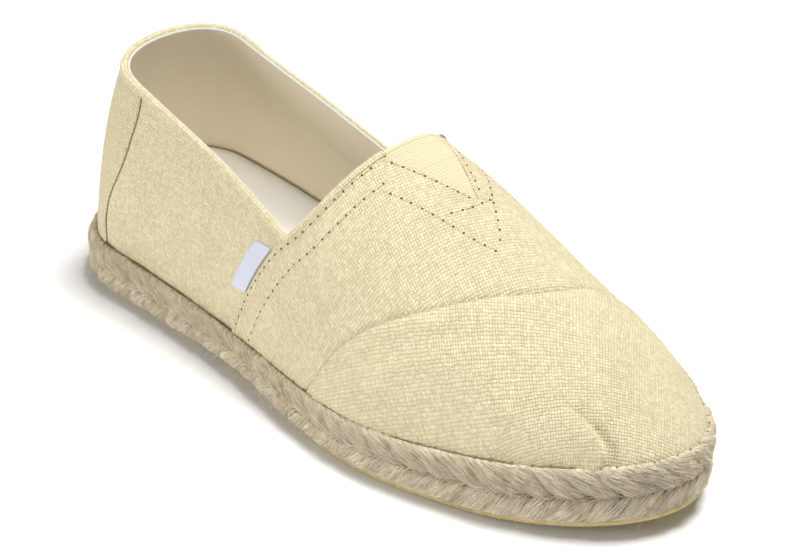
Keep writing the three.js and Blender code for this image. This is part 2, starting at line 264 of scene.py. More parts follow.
def upright(phi, theta):
    """Flat place in mm for a panel cut to stand on the sole: distance along the sole's edge, and the climb up the
    rib."""
    turned = np.mod(phi, 2 * pi)
    drop = np.array([np.interp(turned.ravel(), rib_phi, rib_drop[:, j]) for j in range(65)]).T
    at = theta.ravel() / (pi / 2) * 64
    j = np.minimum(at.astype(int), 63)
    row = np.arange(len(at))
    here = drop[row, j] * (1 - at + j) + drop[row, j + 1] * (at - j)
    signed = (phi + pi) % (2 * pi) - pi if phi.min() < 0 else phi
    long = np.interp(signed.ravel(), np.r_[rib_phi - 2 * pi, rib_phi[1:]], np.r_[edge_run - edge_run[-1], edge_run[1:]])
    return np.stack([long, drop[:, 0] - here], -1).reshape(phi.shape + (2,))


def turn_flat(flat, degrees):
    """The flat measure turned, for a panel cut at an angle to the weave."""
    c, s = np.cos(radians(degrees)), np.sin(radians(degrees))
    return flat @ np.array([[c, -s], [s, c]])


print("cloth from ridge to sole at the ball:", round(float(rib_drop[90, 0]), 1), "mm")

# %% [markdown]
# ## From arrays to meshes
# Each piece is worked out as whole arrays in millimetres and goes into a mesh in one step. A sheet of cloth is a
# closed shell: an outer grid, the same grid a little deeper, and a strip round the rim, so that it has a true
# thickness when it is seen from its edge and when it is exported. Solidify could add the thickness, but it can't
# thin the sheet at one edge or fold the last row shut.

# %% From points and faces to a piece
def settle(points):
    """Shoe millimetres to the frame's metres."""
    return (np.asarray(points, float).reshape(-1, 3) - MIDDLE) / 1000


def quads(rows, columns, wrap_rows=False, wrap_columns=False):
    """Faces of a rows x columns grid, with the column direction turning towards the next row."""
    r, c = np.arange(rows if wrap_rows else rows - 1), np.arange(columns if wrap_columns else columns - 1)
    r, c = np.meshgrid(r, c, indexing="ij")
    r1, c1 = (r + 1) % rows, (c + 1) % columns
    return np.stack([r * columns + c, r1 * columns + c, r1 * columns + c1, r * columns + c1], -1).reshape(-1, 4)


def piece(name, points, faces, material, replaces=(), flat=None, attributes=None, weld=0.0):
    """A mesh object from arrays: points in shoe millimetres, faces, and the flat measure as its UV map, riding on
    the body."""
    points, faces = settle(points), [list(f) for f in (faces.tolist() if isinstance(faces, np.ndarray) else faces)]
    fan = np.array([(f[0], f[k], f[k + 1]) for f in faces for k in range(1, len(f) - 1)])
    volume = (np.cross(points[fan[:, 0]], points[fan[:, 1]]) * points[fan[:, 2]]).sum() / 6
    if volume < 0:
        faces = [f[::-1] for f in faces]
    mesh = bpy.data.meshes.new(name)
    mesh.from_pydata(points.tolist(), [], faces)
    mesh.polygons.foreach_set("use_smooth", np.ones(len(mesh.polygons), bool))
    if flat is not None:
        corner = np.empty(len(mesh.loops), int)
        mesh.loops.foreach_get("vertex_index", corner)
        layer = mesh.uv_layers.new(name="flat")
        layer.data.foreach_set("uv", np.asarray(flat, float).reshape(-1, 2)[corner].ravel())
    for key, value in (attributes or {}).items():
        mesh.attributes.new(key, "FLOAT", "POINT").data.foreach_set("value", np.asarray(value, float).ravel())
    if weld:
        work = bmesh.new()
        work.from_mesh(mesh)
        bmesh.ops.remove_doubles(work, verts=work.verts, dist=weld / 1000)
        work.to_mesh(mesh)
        work.free()
    mesh.update()
    mesh.materials.append(material)
    thing = bpy.data.objects.new(name, mesh)
    bpy.context.scene.collection.objects.link(thing)
    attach(thing, "root")
    if replaces:
        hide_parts(*replaces)
    print(f"{name}: {len(mesh.vertices)} points, {len(fan)} triangles, {abs(volume) * 1e6:.2f} ml")
    return thing


# %% Closed sheets
def shell(outer, inner, folded=False):
    """Points and faces of a closed sheet from its outer and inner grids; a folded last row is sewn to itself, so it
    has no rim."""
    rows, columns = outer.shape[:2]
    count = rows * columns
    face = quads(rows, columns)
    index = np.arange(count).reshape(rows, columns)
    rim = np.concatenate([index[::-1, 0], index[0, 1:], index[1:, -1], index[-1, -2:0:-1]])
    if folded:
        rim = rim[:2 * rows + columns - 2]
        first, after = rim[:-1], rim[1:]
    else:
        first, after = rim, np.roll(rim, -1)
    wall = np.stack([first, after, after + count, first + count], -1)
    points = np.concatenate([outer.reshape(-1, 3), inner.reshape(-1, 3)])
    return points, np.concatenate([face, face[:, ::-1] + count, wall])


print("a sheet of 3 by 4 points closes with", len(shell(np.zeros((3, 4, 3)), np.zeros((3, 4, 3)))[1]), "faces")

# %% [markdown]
# ## Finishes
# Real canvas is two sets of threads that pass over and under one another, so its relief follows a small checker of
# crossings. Here its colour follows the checker too: lighter on each bulging thread and darker between them, which is
# painted shade. Node trees draw that from the piece's own flat measure in millimetres. Wiring them by hand is long, so
# a small class lets a node value be written as arithmetic: each step becomes one Math node.

# %% Node arithmetic
class Wire:
    """A shader value that can be added, multiplied and bent like a number; each step is one Math node."""

    def __init__(self, tree, socket):
        self.tree, self.socket = tree, socket

    def step(self, kind, *values, clamp=False):
        """One Math node of a kind, fed with this value and others."""
        node = self.tree.nodes.new("ShaderNodeMath")
        node.operation, node.use_clamp = kind, clamp
        for slot_, value in zip(node.inputs, (self, *values)):
            link(self.tree, value, slot_)
        return Wire(self.tree, node.outputs[0])

    def __add__(self, other): return self.step("ADD", other)
    def __sub__(self, other): return self.step("SUBTRACT", other)
    def __mul__(self, other): return self.step("MULTIPLY", other)
    def __truediv__(self, other): return self.step("DIVIDE", other)
    def __pow__(self, other): return self.step("POWER", other)
    def sin(self): return self.step("SINE")
    def size(self): return self.step("ABSOLUTE")
    def whole(self): return self.step("FLOOR")
    def fit(self, low, high):
        """0 to 1 as the value goes from low to high."""
        return ((self - low) / (high - low)).step("ADD", 0.0, clamp=True)


def link(tree, value, socket):
    """Joins a value to a socket: a wire or socket is linked, a number or colour is set."""
    if isinstance(value, Wire):
        tree.links.new(value.socket, socket)
    elif isinstance(value, bpy.types.NodeSocket):
        tree.links.new(value, socket)
    else:
        socket.default_value = value


def add(tree, kind, out=0, settings=None, **inputs):
    """A node with its settings and inputs; inputs are named as on the node, with _ for a space."""
    node = tree.nodes.new(kind)
    for key, value in (settings or {}).items():
        setattr(node, key, value)
    for key, value in inputs.items():
        link(tree, value, node.inputs[key.replace("_", " ")])
    return Wire(tree, node.outputs[out])


def join(tree, x, y, z=0.0):
    """Three values as one vector."""
    return add(tree, "ShaderNodeCombineXYZ", X=x, Y=y, Z=z)


def noise(tree, vector, scale, detail=2.0, roughness=0.5):
    """Soft cloudy noise, about 0.5 on average."""
    return add(tree, "ShaderNodeTexNoise", Vector=vector, Scale=scale, Detail=detail, Roughness=roughness)


def scatter(tree, vector):
    """A separate random value from 0 to 1 for each whole step of the vector."""
    return add(tree, "ShaderNodeTexWhiteNoise", Vector=vector)


def mix(tree, amount, first, second):
    """Colours mixed by amount."""
    node = tree.nodes.new("ShaderNodeMix")
    node.data_type = "RGBA"
    for value, slot_ in ((amount, 0), (first, 6), (second, 7)):
        link(tree, value, node.inputs[slot_])
    return Wire(tree, node.outputs[2])


def vectors(tree, kind, *values):
    """One Vector Math node."""
    node = tree.nodes.new("ShaderNodeVectorMath")
    node.operation = kind
    for slot_, value in zip(node.inputs, values):
        link(tree, value, slot_)
    return Wire(tree, node.outputs[0])


# %% Colours, shaders and the cloth's measure
def tone(r, g, b):
    """A screen colour of 0 to 255 as linear light."""
    c = np.array([r, g, b]) / 255
    c = np.where(c <= 0.04045, c / 12.92, ((c + 0.055) / 1.055) ** 2.4)
    return (*np.minimum(c, 1).tolist(), 1.0)


def blank(name, roughness=0.9, sheen=0.0, sheen_roughness=0.5, specular=0.3):
    """A material with one Principled shader; what is the same all over is set on the shader itself."""
    material = bpy.data.materials.new(name)
    material.use_nodes = True
    tree = material.node_tree
    shader = tree.nodes["Principled BSDF"]
    for key, value in (("Roughness", roughness), ("Sheen Weight", sheen), ("Sheen Roughness", sheen_roughness),
                       ("Specular IOR Level", specular)):
        shader.inputs[key].default_value = value
    return material, tree, shader


def relief(tree, shader, height, depth):
    """Bump of a height from 0 to 1 over a depth in mm."""
    bump = tree.nodes.new("ShaderNodeBump")
    bump.inputs["Strength"].default_value = 1.0
    bump.inputs["Distance"].default_value = depth / 1000
    link(tree, height, bump.inputs["Height"])
    tree.links.new(bump.outputs[0], shader.inputs["Normal"])


def flat_measure(tree, wobble=0.0, wander=0.3):
    """The two flat millimetre measures of a piece, shaken a little so that no thread is ruler-straight."""
    uv = add(tree, "ShaderNodeUVMap", settings={"uv_map": "flat"})
    if wobble:
        shake = add(tree, "ShaderNodeTexNoise", out=1, Vector=uv, Scale=wander, Detail=2.0)
        uv = vectors(tree, "MULTIPLY_ADD", vectors(tree, "SUBTRACT", shake, (0.5,) * 3), (wobble,) * 3, uv)
    split = tree.nodes.new("ShaderNodeSeparateXYZ")
    link(tree, uv, split.inputs[0])
    return Wire(tree, split.outputs[0]), Wire(tree, split.outputs[1])


print("a mid screen grey is", round(tone(128, 128, 128)[0], 3), "of white light")

# %% [markdown]
# ## Woven cloth
# The canvas is a plain weave of slightly uneven cotton threads, about one to a millimetre. The two sines of the flat
# measure say which thread is on top and how far it bulges; the colour is lighter on the bulges and darker in the
# valleys and pinholes between them, as painted shade. Long thin noise makes some threads paler than others, and a
# random value at each crossing gives the fine sparkle. Real threads as geometry would need millions of faces.

# %% Woven cloth
def cloth(name, light, dark, pitch, depth, rough=0.9, slub=1.0, sheen=0.1, shadow=None):
    """Plain weave: at each crossing the upper thread bulges across itself and arches along itself; threads and
    crossings vary. The colour is painted shade as well: lighter on the bulges, and darkened towards the shadow colour
    at the pinholes in each corner."""
    material, tree, shader = blank(name, rough, sheen, 0.4, 0.2)
    u, v = flat_measure(tree, 1.05 * pitch, 0.45 / pitch)
    u, v = u / pitch, v / pitch
    su, sv = (u * pi).sin(), (v * pi).sin()
    over = (su * sv * 2.5 + 0.5).fit(0.0, 1.0)
    under = over * -1.0 + 1.0
    across, down = su.size() + 0.001, sv.size() + 0.001
    bulge = (across ** 0.9 * down ** 0.35) * over + (across ** 0.35 * down ** 0.9) * under
    warp = noise(tree, join(tree, u * 0.9, v * 0.07), 1.0, 3.0, 0.6)
    weft = noise(tree, join(tree, u * 0.07 + 37.0, v * 0.9), 1.0, 3.0, 0.6)
    thread = (warp * over + weft * under).fit(0.3, 0.7)
    crossing = scatter(tree, join(tree, u.whole(), v.whole()))
    pinhole_shade = ((across * -1.0 + 1.0) * (down * -1.0 + 1.0)).fit(0.25, 0.85)
    patch = noise(tree, join(tree, u, v), 0.05 * pitch, 3.0).fit(0.35, 0.65)
    # painted shade: the colour mix follows the thread bulges, lighter on top and darker in the valleys, with real
    # thread and crossing tones added
    shade = (bulge * 0.34 + thread * 0.24 * slub + crossing * 0.32 * slub + patch * 0.06).fit(0.0, 0.93)
    colour = mix(tree, shade, dark, light)
    # painted shade: the pinholes between threads are darkened towards the shadow colour
    link(tree, mix(tree, pinhole_shade * 0.5, colour, shadow or dark), shader.inputs["Base Color"])
    relief(tree, shader, bulge * 0.58 + thread * 0.42 * slub + crossing * 0.5 * slub, depth)
    return material


# PINHOLE_SHADE is the painted shade colour mixed in at the pinholes
CANVAS_LIGHT, CANVAS_DARK, PINHOLE_SHADE = tone(238, 226, 190), tone(186, 173, 135), tone(162, 147, 106)
canvas = cloth("canvas", CANVAS_LIGHT, CANVAS_DARK, 0.98, 0.4, shadow=PINHOLE_SHADE)
canvas_heel = cloth("canvas_heel", tone(234, 222, 186), tone(190, 177, 139), 0.88, 0.38, slub=0.85, shadow=PINHOLE_SHADE)
lining_cloth = cloth("lining_cloth", tone(230, 219, 197), tone(223, 211, 188), 0.4, 0.03, slub=0.3)
insole_cloth = cloth("insole_cloth", tone(251, 250, 245), tone(245, 243, 236), 0.5, 0.04, slub=0.5)
print("cloth finishes", [m.name for m in bpy.data.materials])

# %% [markdown]
# ## Jute, thread and rubber
# Jute is a bast fibre: long, pale and shiny where it is clean. Here it is also painted darker in the valleys between
# yarns and browner where the strands meet and in the troughs between turns, which is painted shade. Its streaks run
# along the yarn, so the plait brings its own measure, turned to lie with its yarns. A stretched noise then makes
# streaks without any drawing. Thread, rubber and the core need much less, and share two small finishes.

# %% Jute
def jute(name, pale, light, dark, brown, valley_shade):
    """Combed yarns side by side: soft ridges with long fine streaks and wisps of pale fibre. Painted shade makes the
    valleys between yarns darker, and browner where the shade_band attribute is high."""
    material, tree, shader = blank(name, 0.92, 0.25, 0.5, 0.2)
    u, v = flat_measure(tree, 1.1, 0.3)
    yarn = ((v * (pi / 1.15)).sin().size() + 0.001) ** 0.6
    fine = noise(tree, join(tree, u * 0.16, v * 3.4), 1.0, 4.0, 0.7).fit(0.3, 0.7)
    coarse = noise(tree, join(tree, u * 0.07, v * 0.8 + 9.0), 1.0, 2.0).fit(0.3, 0.7)
    patch = noise(tree, join(tree, u, v), 0.16, 3.0).fit(0.35, 0.65)
    shade_band = add(tree, "ShaderNodeAttribute", out=2, settings={"attribute_name": "shade_band"})
    colour = mix(tree, fine * 0.6 + coarse * 0.4, dark, light)
    wisp = noise(tree, join(tree, u * 0.22 + 5.0, v * 1.9), 1.0, 3.0, 0.6).fit(0.52, 0.66)
    # painted shade: darker in the valleys between yarns
    colour = mix(tree, (yarn * -1.0 + 1.0) * 0.6, colour, valley_shade)
    colour = mix(tree, wisp * 0.75, colour, pale)
    # painted shade: browner where shade_band is high, in the crevices between rows and the troughs between turns
    link(tree, mix(tree, (shade_band * (patch * 0.5 + 0.6)).fit(0.0, 1.0), colour, brown), shader.inputs["Base Color"])
    relief(tree, shader, yarn * 0.5 + fine * 0.7 + coarse * 0.5 + wisp * 0.3, 0.75)
    return material


# %% Plain finishes and sewing thread
def plain(name, light, dark, scale, depth, rough=0.9, sheen=0.0, specular=0.3):
    """One colour with soft mottling on Object coordinates, scale in patches per mm."""
    material, tree, shader = blank(name, rough, sheen, 0.4, specular)
    place = add(tree, "ShaderNodeTexCoord", out=3)
    grain = noise(tree, place, scale * 1000, 4.0, 0.6).fit(0.3, 0.7)
    link(tree, mix(tree, grain, dark, light), shader.inputs["Base Color"])
    relief(tree, shader, grain, depth)
    return material


def twisted(name, light, dark, turns, depth):
    """Sewing thread: a diagonal line of ply along and round the stitch, darker in the grooves between plies as painted
    shade.
    """
    material, tree, shader = blank(name, 0.7, 0.2, 0.4, 0.3)
    u, v = flat_measure(tree)
    ply = ((u * turns + v * 2.0) * pi).sin().size()
    # painted shade: the colour darkens in the grooves between plies
    link(tree, mix(tree, ply, dark, light), shader.inputs["Base Color"])
    relief(tree, shader, ply, depth)
    return material


# %% The finishes
# the last two colours are painted shade: brown for the crevices, and darker for the valleys between yarns
jute_strand = jute("jute_strand", tone(255, 250, 234), tone(246, 234, 206), tone(202, 182, 144), tone(88, 60, 30),
                   tone(156, 128, 86))
# jute_core_shade: dark brown, painted shade for the gaps between the strands
jute_core_shade = plain("jute_core_shade", tone(146, 118, 78), tone(98, 76, 46), 0.5, 0.4)
jute_hair = plain("jute_hair", tone(246, 236, 212), tone(212, 194, 160), 0.2, 0.01, 0.8, 0.2)
cream_thread = twisted("cream_thread", tone(236, 224, 186), tone(204, 188, 144), 2.2, 0.05)
olive_thread = twisted("olive_thread", tone(172, 152, 106), tone(122, 102, 62), 2.2, 0.08)
# needle_hole_shade: painted shade, the dark colour of the lenses at the needle holes
needle_hole_shade = plain("needle_hole_shade", tone(118, 102, 64), tone(88, 74, 44), 1.0, 0.02)
lining_edge = cloth("lining_edge", tone(226, 224, 216), tone(212, 208, 196), 0.4, 0.03, slub=0.3)
ribbon = cloth("ribbon", tone(208, 211, 222), tone(194, 197, 210), 0.3, 0.04, 0.6, 0.4, 0.3)
rubber = plain("rubber", tone(200, 182, 128), tone(176, 158, 108), 0.3, 0.08, 0.75, 0.0, 0.4)
print("finishes", len(bpy.data.materials))

# %% [markdown]
# ## Camera, floor and light
# The camera and the light come first, so that every piece is judged in its final view. The camera stands outside
# the toe, above it, with a long lens, which keeps the shoe's proportions true. The light is a wide soft box over a
# pale room, so that shade is gentle and gathers only under the edge of the sole. A second, low box lights the outer
# side, and a weak one the toe. A sun lamp would be simpler, but its hard edge would hide the weave.

# %% Camera
camera = bpy.data.objects.new("camera", bpy.data.cameras.new("camera"))
camera.data.lens, camera.data.sensor_width = 129.6, 36.0
camera.data.clip_end = 10.0
camera_at, aim = Vector((0.5727, -0.5556, 0.4705)), Vector((-0.0065, 0.0164, 0.0258))
turned = (aim - camera_at).to_track_quat("-Z", "Y").to_matrix().to_4x4() @ Matrix.Rotation(radians(1.2), 4, "Z")
camera.matrix_world = Matrix.Translation(camera_at) @ turned
bpy.context.scene.collection.objects.link(camera)
bpy.context.scene.camera = camera
bpy.context.scene.view_settings.view_transform = "Standard"
print("camera stands", round((aim - camera_at).length, 3), "m away")

# %% Floor and room
floor_paint, floor_tree, floor_shader = blank("floor_paint", 0.9, specular=0.0)
floor_shader.inputs["Base Color"].default_value = (0.93, 0.93, 0.93, 1)
floor_mesh = bpy.data.meshes.new("floor")
floor_mesh.from_pydata([(-6, -6, 0), (6, -6, 0), (6, 6, 0), (-6, 6, 0)], [], [(0, 1, 2, 3)])
floor_mesh.materials.append(floor_paint)
floor = bpy.data.objects.new("floor", floor_mesh)
bpy.context.scene.collection.objects.link(floor)

room = bpy.data.worlds.new("room")
room.use_nodes = True
room.node_tree.nodes["Background"].inputs[0].default_value = (0.98, 0.99, 1.0, 1)
room.node_tree.nodes["Background"].inputs[1].default_value = 0.18
bpy.context.scene.world = room
print("floor", [round(v, 1) for v in floor.dimensions], "m")

# %% Lights
def soft_box(name, at, towards, size, power):
    """A square area light facing a point."""
    lamp = bpy.data.lights.new(name, "AREA")
    lamp.shape, lamp.size, lamp.energy = "SQUARE", size, power
    thing = bpy.data.objects.new(name, lamp)
    aim_it = (Vector(towards) - Vector(at)).to_track_quat("-Z", "Y").to_matrix().to_4x4()
    thing.matrix_world = Matrix.Translation(at) @ aim_it
    bpy.context.scene.collection.objects.link(thing)


soft_box("over", (0.24, 0.26, 1.48), (0, 0, 0), 0.62, 31.0)
soft_box("front", (-0.62, -1.35, 0.30), (0, 0, 0.05), 0.6, 13.0)
soft_box("toe_side", (1.3, -0.2, 0.5), (0.05, 0, 0.05), 0.5, 0.5)

# %% [markdown]
# ## The core of the sole
# Inside a rope sole the plait is coiled flat and sewn through, so the middle is a solid slab of jute. Only the turn at
# the rim is ever seen well. The slab is therefore plain and a little smaller than the sole, and closes the gaps between
# the strands that stand round it. It is dark as painted shade, so that those gaps read as shadow.

# %% Rings carried round the outline
def rings(phi, profile):
    """Grid of the outline at each profile row of (inset, share of height, lift): height runs from the ground line to
    the platform."""
    rows = []
    for inset, share, lift in profile:
        flat = outline(phi, np.full(phi.shape, float(inset)))
        low, high = ground(flat[:, 0]) + OUTSOLE, platform(flat[:, 0])
        rows.append(np.c_[flat, low + (high - low) * share + lift])
    return np.array(rows)


def inwards(rim, share):
    """Plan of a rim drawn in towards the centre line, to a share of its distance."""
    x = np.clip(rim[:, 0], HEEL_POLE, TOE_POLE)
    spine = np.c_[x, centre(x)]
    return spine + (rim[:, :2] - spine) * share


def strips(rim, shares, level, lift):
    """Rows from a rim inwards, lying on a level line with a lift."""
    plans = [inwards(rim, share) for share in shares]
    return [np.c_[flat, level(flat[:, 0]) + lift] for flat in plans]


def slab(name, phi, profile, material, replaces):
    """A closed slab: rings up its side, with its top and bottom closed by strips from the rim to the centre line."""
    side, shares = rings(phi, profile), np.linspace(1, 0, 14)[1:]
    under = strips(side[0], shares[::-1], ground, profile[0][2] + OUTSOLE)
    over = strips(side[-1], shares, platform, profile[-1][2])
    grid = np.array(under + list(side) + over)
    return piece(name, grid, quads(*grid.shape[:2], False, True), material, replaces, grid[..., :2], weld=0.005)


around = np.linspace(0, 2 * pi, 361)[:-1]
CORE = [(6.5, 0.0, 0.2), (5.2, 0.08, 0), (4.8, 0.3, 0), (5.4, 0.5, 0), (4.8, 0.7, 0), (5.4, 0.9, 0), (6.6, 1.0, -0.3)]
slab("sole_core", around, CORE, jute_core_shade, ("midsole",))

# %% [markdown]
# ## The plait
# The rim is a jute plait standing on its edge. From outside a plait shows two rows of turns that lean against each
# other, upper ones falling forwards and lower ones rising. Each row is a soft oval carried round the sole. A wave
# that leans with the yarns makes its turns, and the upper row's turns hang in scallops over the lower row.

# %% Measured path round the sole
fine_phi = np.linspace(0, 2 * pi, 2881)
fine_flat = edge(fine_phi)
run = measured(fine_flat)
ROUND = run[-1]


def phi_at(distance):
    """Phi at a distance along the outline in mm."""
    return np.interp(np.mod(distance, ROUND), run, fine_phi)


TURNS = 58
TURN = ROUND / TURNS
LEAN = {1: radians(-27), 0: radians(52)}
print("round the sole", round(ROUND, 1), "mm; one turn of the plait", round(TURN, 1), "mm")


def lay(row, s, angle, lift=0.0):
    """Places on the upper (1) or lower (0) row at a distance round the sole and an angle round the row, lifted off it,
    with the height in mm up the rope and the wave of the turns: an oval whose depth follows a rounded wave across
    the leaning turns, with finer ridges for the yarns."""
    shake = np.random.default_rng(11 + row)
    drift = sum(shake.normal(0, 0.3) * np.sin(2 * pi * s / ROUND * k + shake.uniform(0, 6)) for k in range(5, 90, 4))
    rim = outline(phi_at(s), 0 * s)
    low, high = ground(rim[..., 0]) + OUTSOLE - 0.5, platform(rim[..., 0]) + 1.35
    tall = high - low
    up, out = np.cos(angle), np.sin(angle)
    share = (0.72 if row else 0.215) + (0.28 if row else 0.25) * up
    wave = (s + (1.25 if row else -0.8) * share * tall) / TURN + 0.09 * drift + (0.0 if row else 0.35)
    turn = np.abs(np.sin(pi * wave)) ** 0.55
    share = share - (0.075 * (turn - 0.35) * smooth(0.1, -0.9, up) if row else 0) + 0.004 * drift
    yarn = (-np.sin(LEAN[row]) * s + np.cos(LEAN[row]) * share * tall) / 2.3
    outwards = np.sign(out) * np.abs(out) ** 0.75 * ((2.5 if row else 2.35) - (0.95 if row else 1.15) * (1 - turn)
                                                     + 0.11 * np.sin(2 * pi * yarn + 1.4 * drift) + 0.2 * drift)
    inset = (3.5 if row else 3.7) - outwards - lift
    flat = outline(phi_at(s + 0 * inset), inset)
    return np.concatenate([flat, (low + tall * share)[..., None]], -1), share * tall, turn


# points round the sole, and angles round a row, closer on the outward side
POINTS, FACING = 1500, np.r_[np.linspace(-0.2, pi + 0.2, 22), np.linspace(pi + 0.2, 2 * pi - 0.2, 8)[1:-1]]
grids, measures, shade_bands = [], [], []
for row in (0, 1):
    s, angle = np.meshgrid(np.linspace(0, ROUND, POINTS + 1)[:-1], FACING, indexing="ij")
    grid, climb, turn = lay(row, s, angle)
    c, d = np.cos(LEAN[row]), np.sin(LEAN[row])
    grids.append(grid)
    measures.append(np.stack([c * s + d * climb + 700 * row, c * climb - d * s], -1))
    # shade_band is painted shade: high where the two rows meet and in the troughs between turns, and a little higher
    # all along the lower row
    meet = smooth(-0.55, -1.0, np.cos(angle)) if row else smooth(0.55, 1.0, np.cos(angle))
    groove = 0.9 * smooth(0.6, 0.15, turn) * smooth(0.35, -0.8 if row else 1.0, np.cos(angle))
    shade_bands.append(meet + groove + 0.07 * (1 - row))
count = grids[0].shape[0] * grids[0].shape[1]
plait_faces = np.concatenate([quads(*g.shape[:2], True, True) + k * count for k, g in enumerate(grids)])
piece("rope_plait", np.concatenate([g.reshape(-1, 3) for g in grids]), plait_faces, jute_strand,
      ("midsole",), np.concatenate([m.reshape(-1, 2) for m in measures]),
      {"shade_band": np.concatenate([b.ravel() for b in shade_bands])})

# %% [markdown]
# ## Rubber sheet
# Under the rope is a thin rubber sheet, cut to the outline and dipped a little up the rope. It is a slab with a
# rounded edge. Low waves across its underside are the tread.

# %% The rubber sheet
TREAD = 7.0


def outsole_sheet():
    """Rings over the edge, then strips to the centre line; the underside carries sine waves across the shoe."""
    phi = np.linspace(0, 2 * pi, 481)[:-1]
    rows = []
    for inset, z in ((5.4, 3.3), (3.9, 3.2), (3.2, 2.7), (2.9, 1.9), (3.0, 1.0), (3.5, 0.3), (4.5, 0.0)):
        flat = outline(phi, inset + 1.7 * smooth(160, 100, station(phi)))
        rows.append(np.c_[flat, ground(flat[:, 0]) + z])
    rim, top = rows[-1], rows[0]
    under = strips(rim, np.linspace(1, 0, 40)[1:], ground, 0.0)
    for row in under:
        inside = smooth(0.0, 5.0, np.linalg.norm(rim[:, :2] - row[:, :2], axis=1))
        wave = 0.5 - 0.5 * np.cos(2 * pi * (row[:, 0] + 2.2 * np.sin(row[:, 1] / 6)) / TREAD)
        row[:, 2] = ground(row[:, 0]) + 0.45 * inside * wave
    over = strips(top, np.linspace(0, 1, 8)[:-1], ground, 3.3)
    return np.array(over + rows + under)[::-1]


grid = outsole_sheet()
piece("rubber_sheet", grid, quads(*grid.shape[:2], False, True), rubber, ("outsole",),
      grid[..., :2], weld=0.005)

# %% [markdown]
# ## Insole
# A foam footbed covered with smooth cloth lies on the platform inside the shoe. It is thick under the heel and thin
# at the toe, and its rim is cupped up the wall: rings from the rim inwards keep less and less of the cup's height.

# %% Insole
pad = curve([(0, 6), (60, 6), (110, 5), (150, 4), (190, 3.2), (256, 3)])
cup = curve([(0, 11.5), (70, 11), (110, 6), (150, 2), (190, 0.8), (256, 0.5)])
# inset of each ring, the share it keeps of the cup's height, and its drop below that
BED = [(7.5, 1, -2.2), (7.3, 1, -1.1), (7.5, 1, -0.35), (8.1, 0.985, 0), (9, 0.93, 0), (10, 0.84, 0), (11.2, 0.68, 0),
       (12.8, 0.47, 0), (14.5, 0.31, 0), (16.5, 0.19, 0), (19, 0.09, 0), (22, 0.03, 0), (25, 0, 0)]


def insole_sheet():
    """Strips over the flat underside, then rings up the wall and down the cupped rim to the centre line, leaning in
    with the heel wall."""
    phi = np.linspace(0, 2 * pi, 361)[:-1]
    rows = []
    for inset, keep, drop in [(7.6, 0, None)] + BED:
        flat = outline(phi, np.full(phi.shape, float(inset)))
        foot = platform(flat[:, 0]) + GLUE
        z = foot + 0.1 if drop is None else foot + pad(flat[:, 0]) + keep * cup(flat[:, 0]) + drop
        rows.append(np.c_[flat[:, 0] + heel_lean(flat[:, 0], z - foot), flat[:, 1], z])
    under = strips(rows[0], np.linspace(0, 1, 6)[:-1], lambda x: platform(x) + GLUE, 0.1)
    over = strips(rows[-1], np.linspace(1, 0, 20)[1:], lambda x: platform(x) + GLUE + pad(x), 0.0)
    return np.array(under + rows + over)


grid = insole_sheet()
insole = piece("insole_footbed", grid, quads(*grid.shape[:2], False, True), insole_cloth, ("insole",),
               grid[..., :2], weld=0.005)

# %% [markdown]
# ## Chalk lines for the seams
# The upper's seams are marked on the last as a pattern cutter marks them. The vamp's back edge climbs from the sole
# to the collar, runs up the throat, then along one arm of the V that holds the elastic. The toe seam sweeps over
# the foot, further forward on the inner side. The heel strip's seams are a long S.

# %% Seams as angles on the last
def chalk(marks, gap=1.0):
    """A smooth line through marks in space, natural cubics by chord length, pulled onto the last."""
    marks = np.array(marks, float)
    chord = measured(marks)
    t = np.linspace(0, chord[-1], max(int(chord[-1] / gap), 2) + 1)
    return onto(np.stack([curve(np.c_[chord, marks[:, k]])(t) for k in range(3)], -1))


def above(x, y):
    """Angles of the place over a plan point near the ridge: its rib is the one at that station, and theta follows
    from how far out it lies."""
    x, y = np.broadcast_arrays(np.asarray(x, float), np.asarray(y, float))
    phi = np.where(y < ridge(x), phi_of(x), 2 * pi - phi_of(x))
    foot_y, top_y = outline(phi, np.full(x.shape, FEATHER))[..., 1], ridge(x)
    out = np.clip((y - top_y) / (foot_y - top_y), 0, 1)
    return phi, np.arccos(out ** (crown(x) / 2))


# %% Marks on this shoe
def on_side(phi, side):
    """The angle measured from the heel on either side: the same on the outer side, mirrored on the inner."""
    return phi if side < 0 else 2 * pi - phi


def at_top(psi, side):
    """The point of the collar or throat at a side angle."""
    phi = on_side(psi, side)
    return last(phi, top_angle(phi))


def climbing(values):
    """The same values with a trace added so that they always rise, and can be looked up."""
    return np.maximum.accumulate(values + np.arange(len(values)) * 1e-7)


# the V's point in plan, the ends of its arms, and marks of the vamp's back edge, heel seam and toe seam
APEX = (165.0, float(ridge(165)))
ARM_END = {-1: (138.3, -9.1), 1: (139.6, 16.4)}
LOW_MARKS = {-1: [(95, -35.4, 14.4), (98.4, -35.2, 22), (103.2, -33.9, 31.6), (110.6, -33.0, 44)],
             1: [(103, 34.0, 14.4), (106.6, 33.6, 22), (110.9, 32.6, 31.6), (115.5, 31.2, 44)]}
HEEL_MARKS = [(25.6, 18.9), (25.0, 23.5), (25.8, 29.5), (28.5, 36.5), (34.5, 47.5), (39.5, 61), (42.3, 71),
              (42.9, 77.8)]
TOE_MARKS = [(139.2, -42.9, 14.6), (141.4, -42.8, 18), (148, -41.5, 29), (159, -37.6, 42.4), (178.5, -25.8, 54),
             (190, -13, 57.8), (196.5, -3.1, 57.7), (200.6, 14, 54), (201.2, 30.7, 43.4), (196, 39, 33),
             (186.5, 44, 19)]


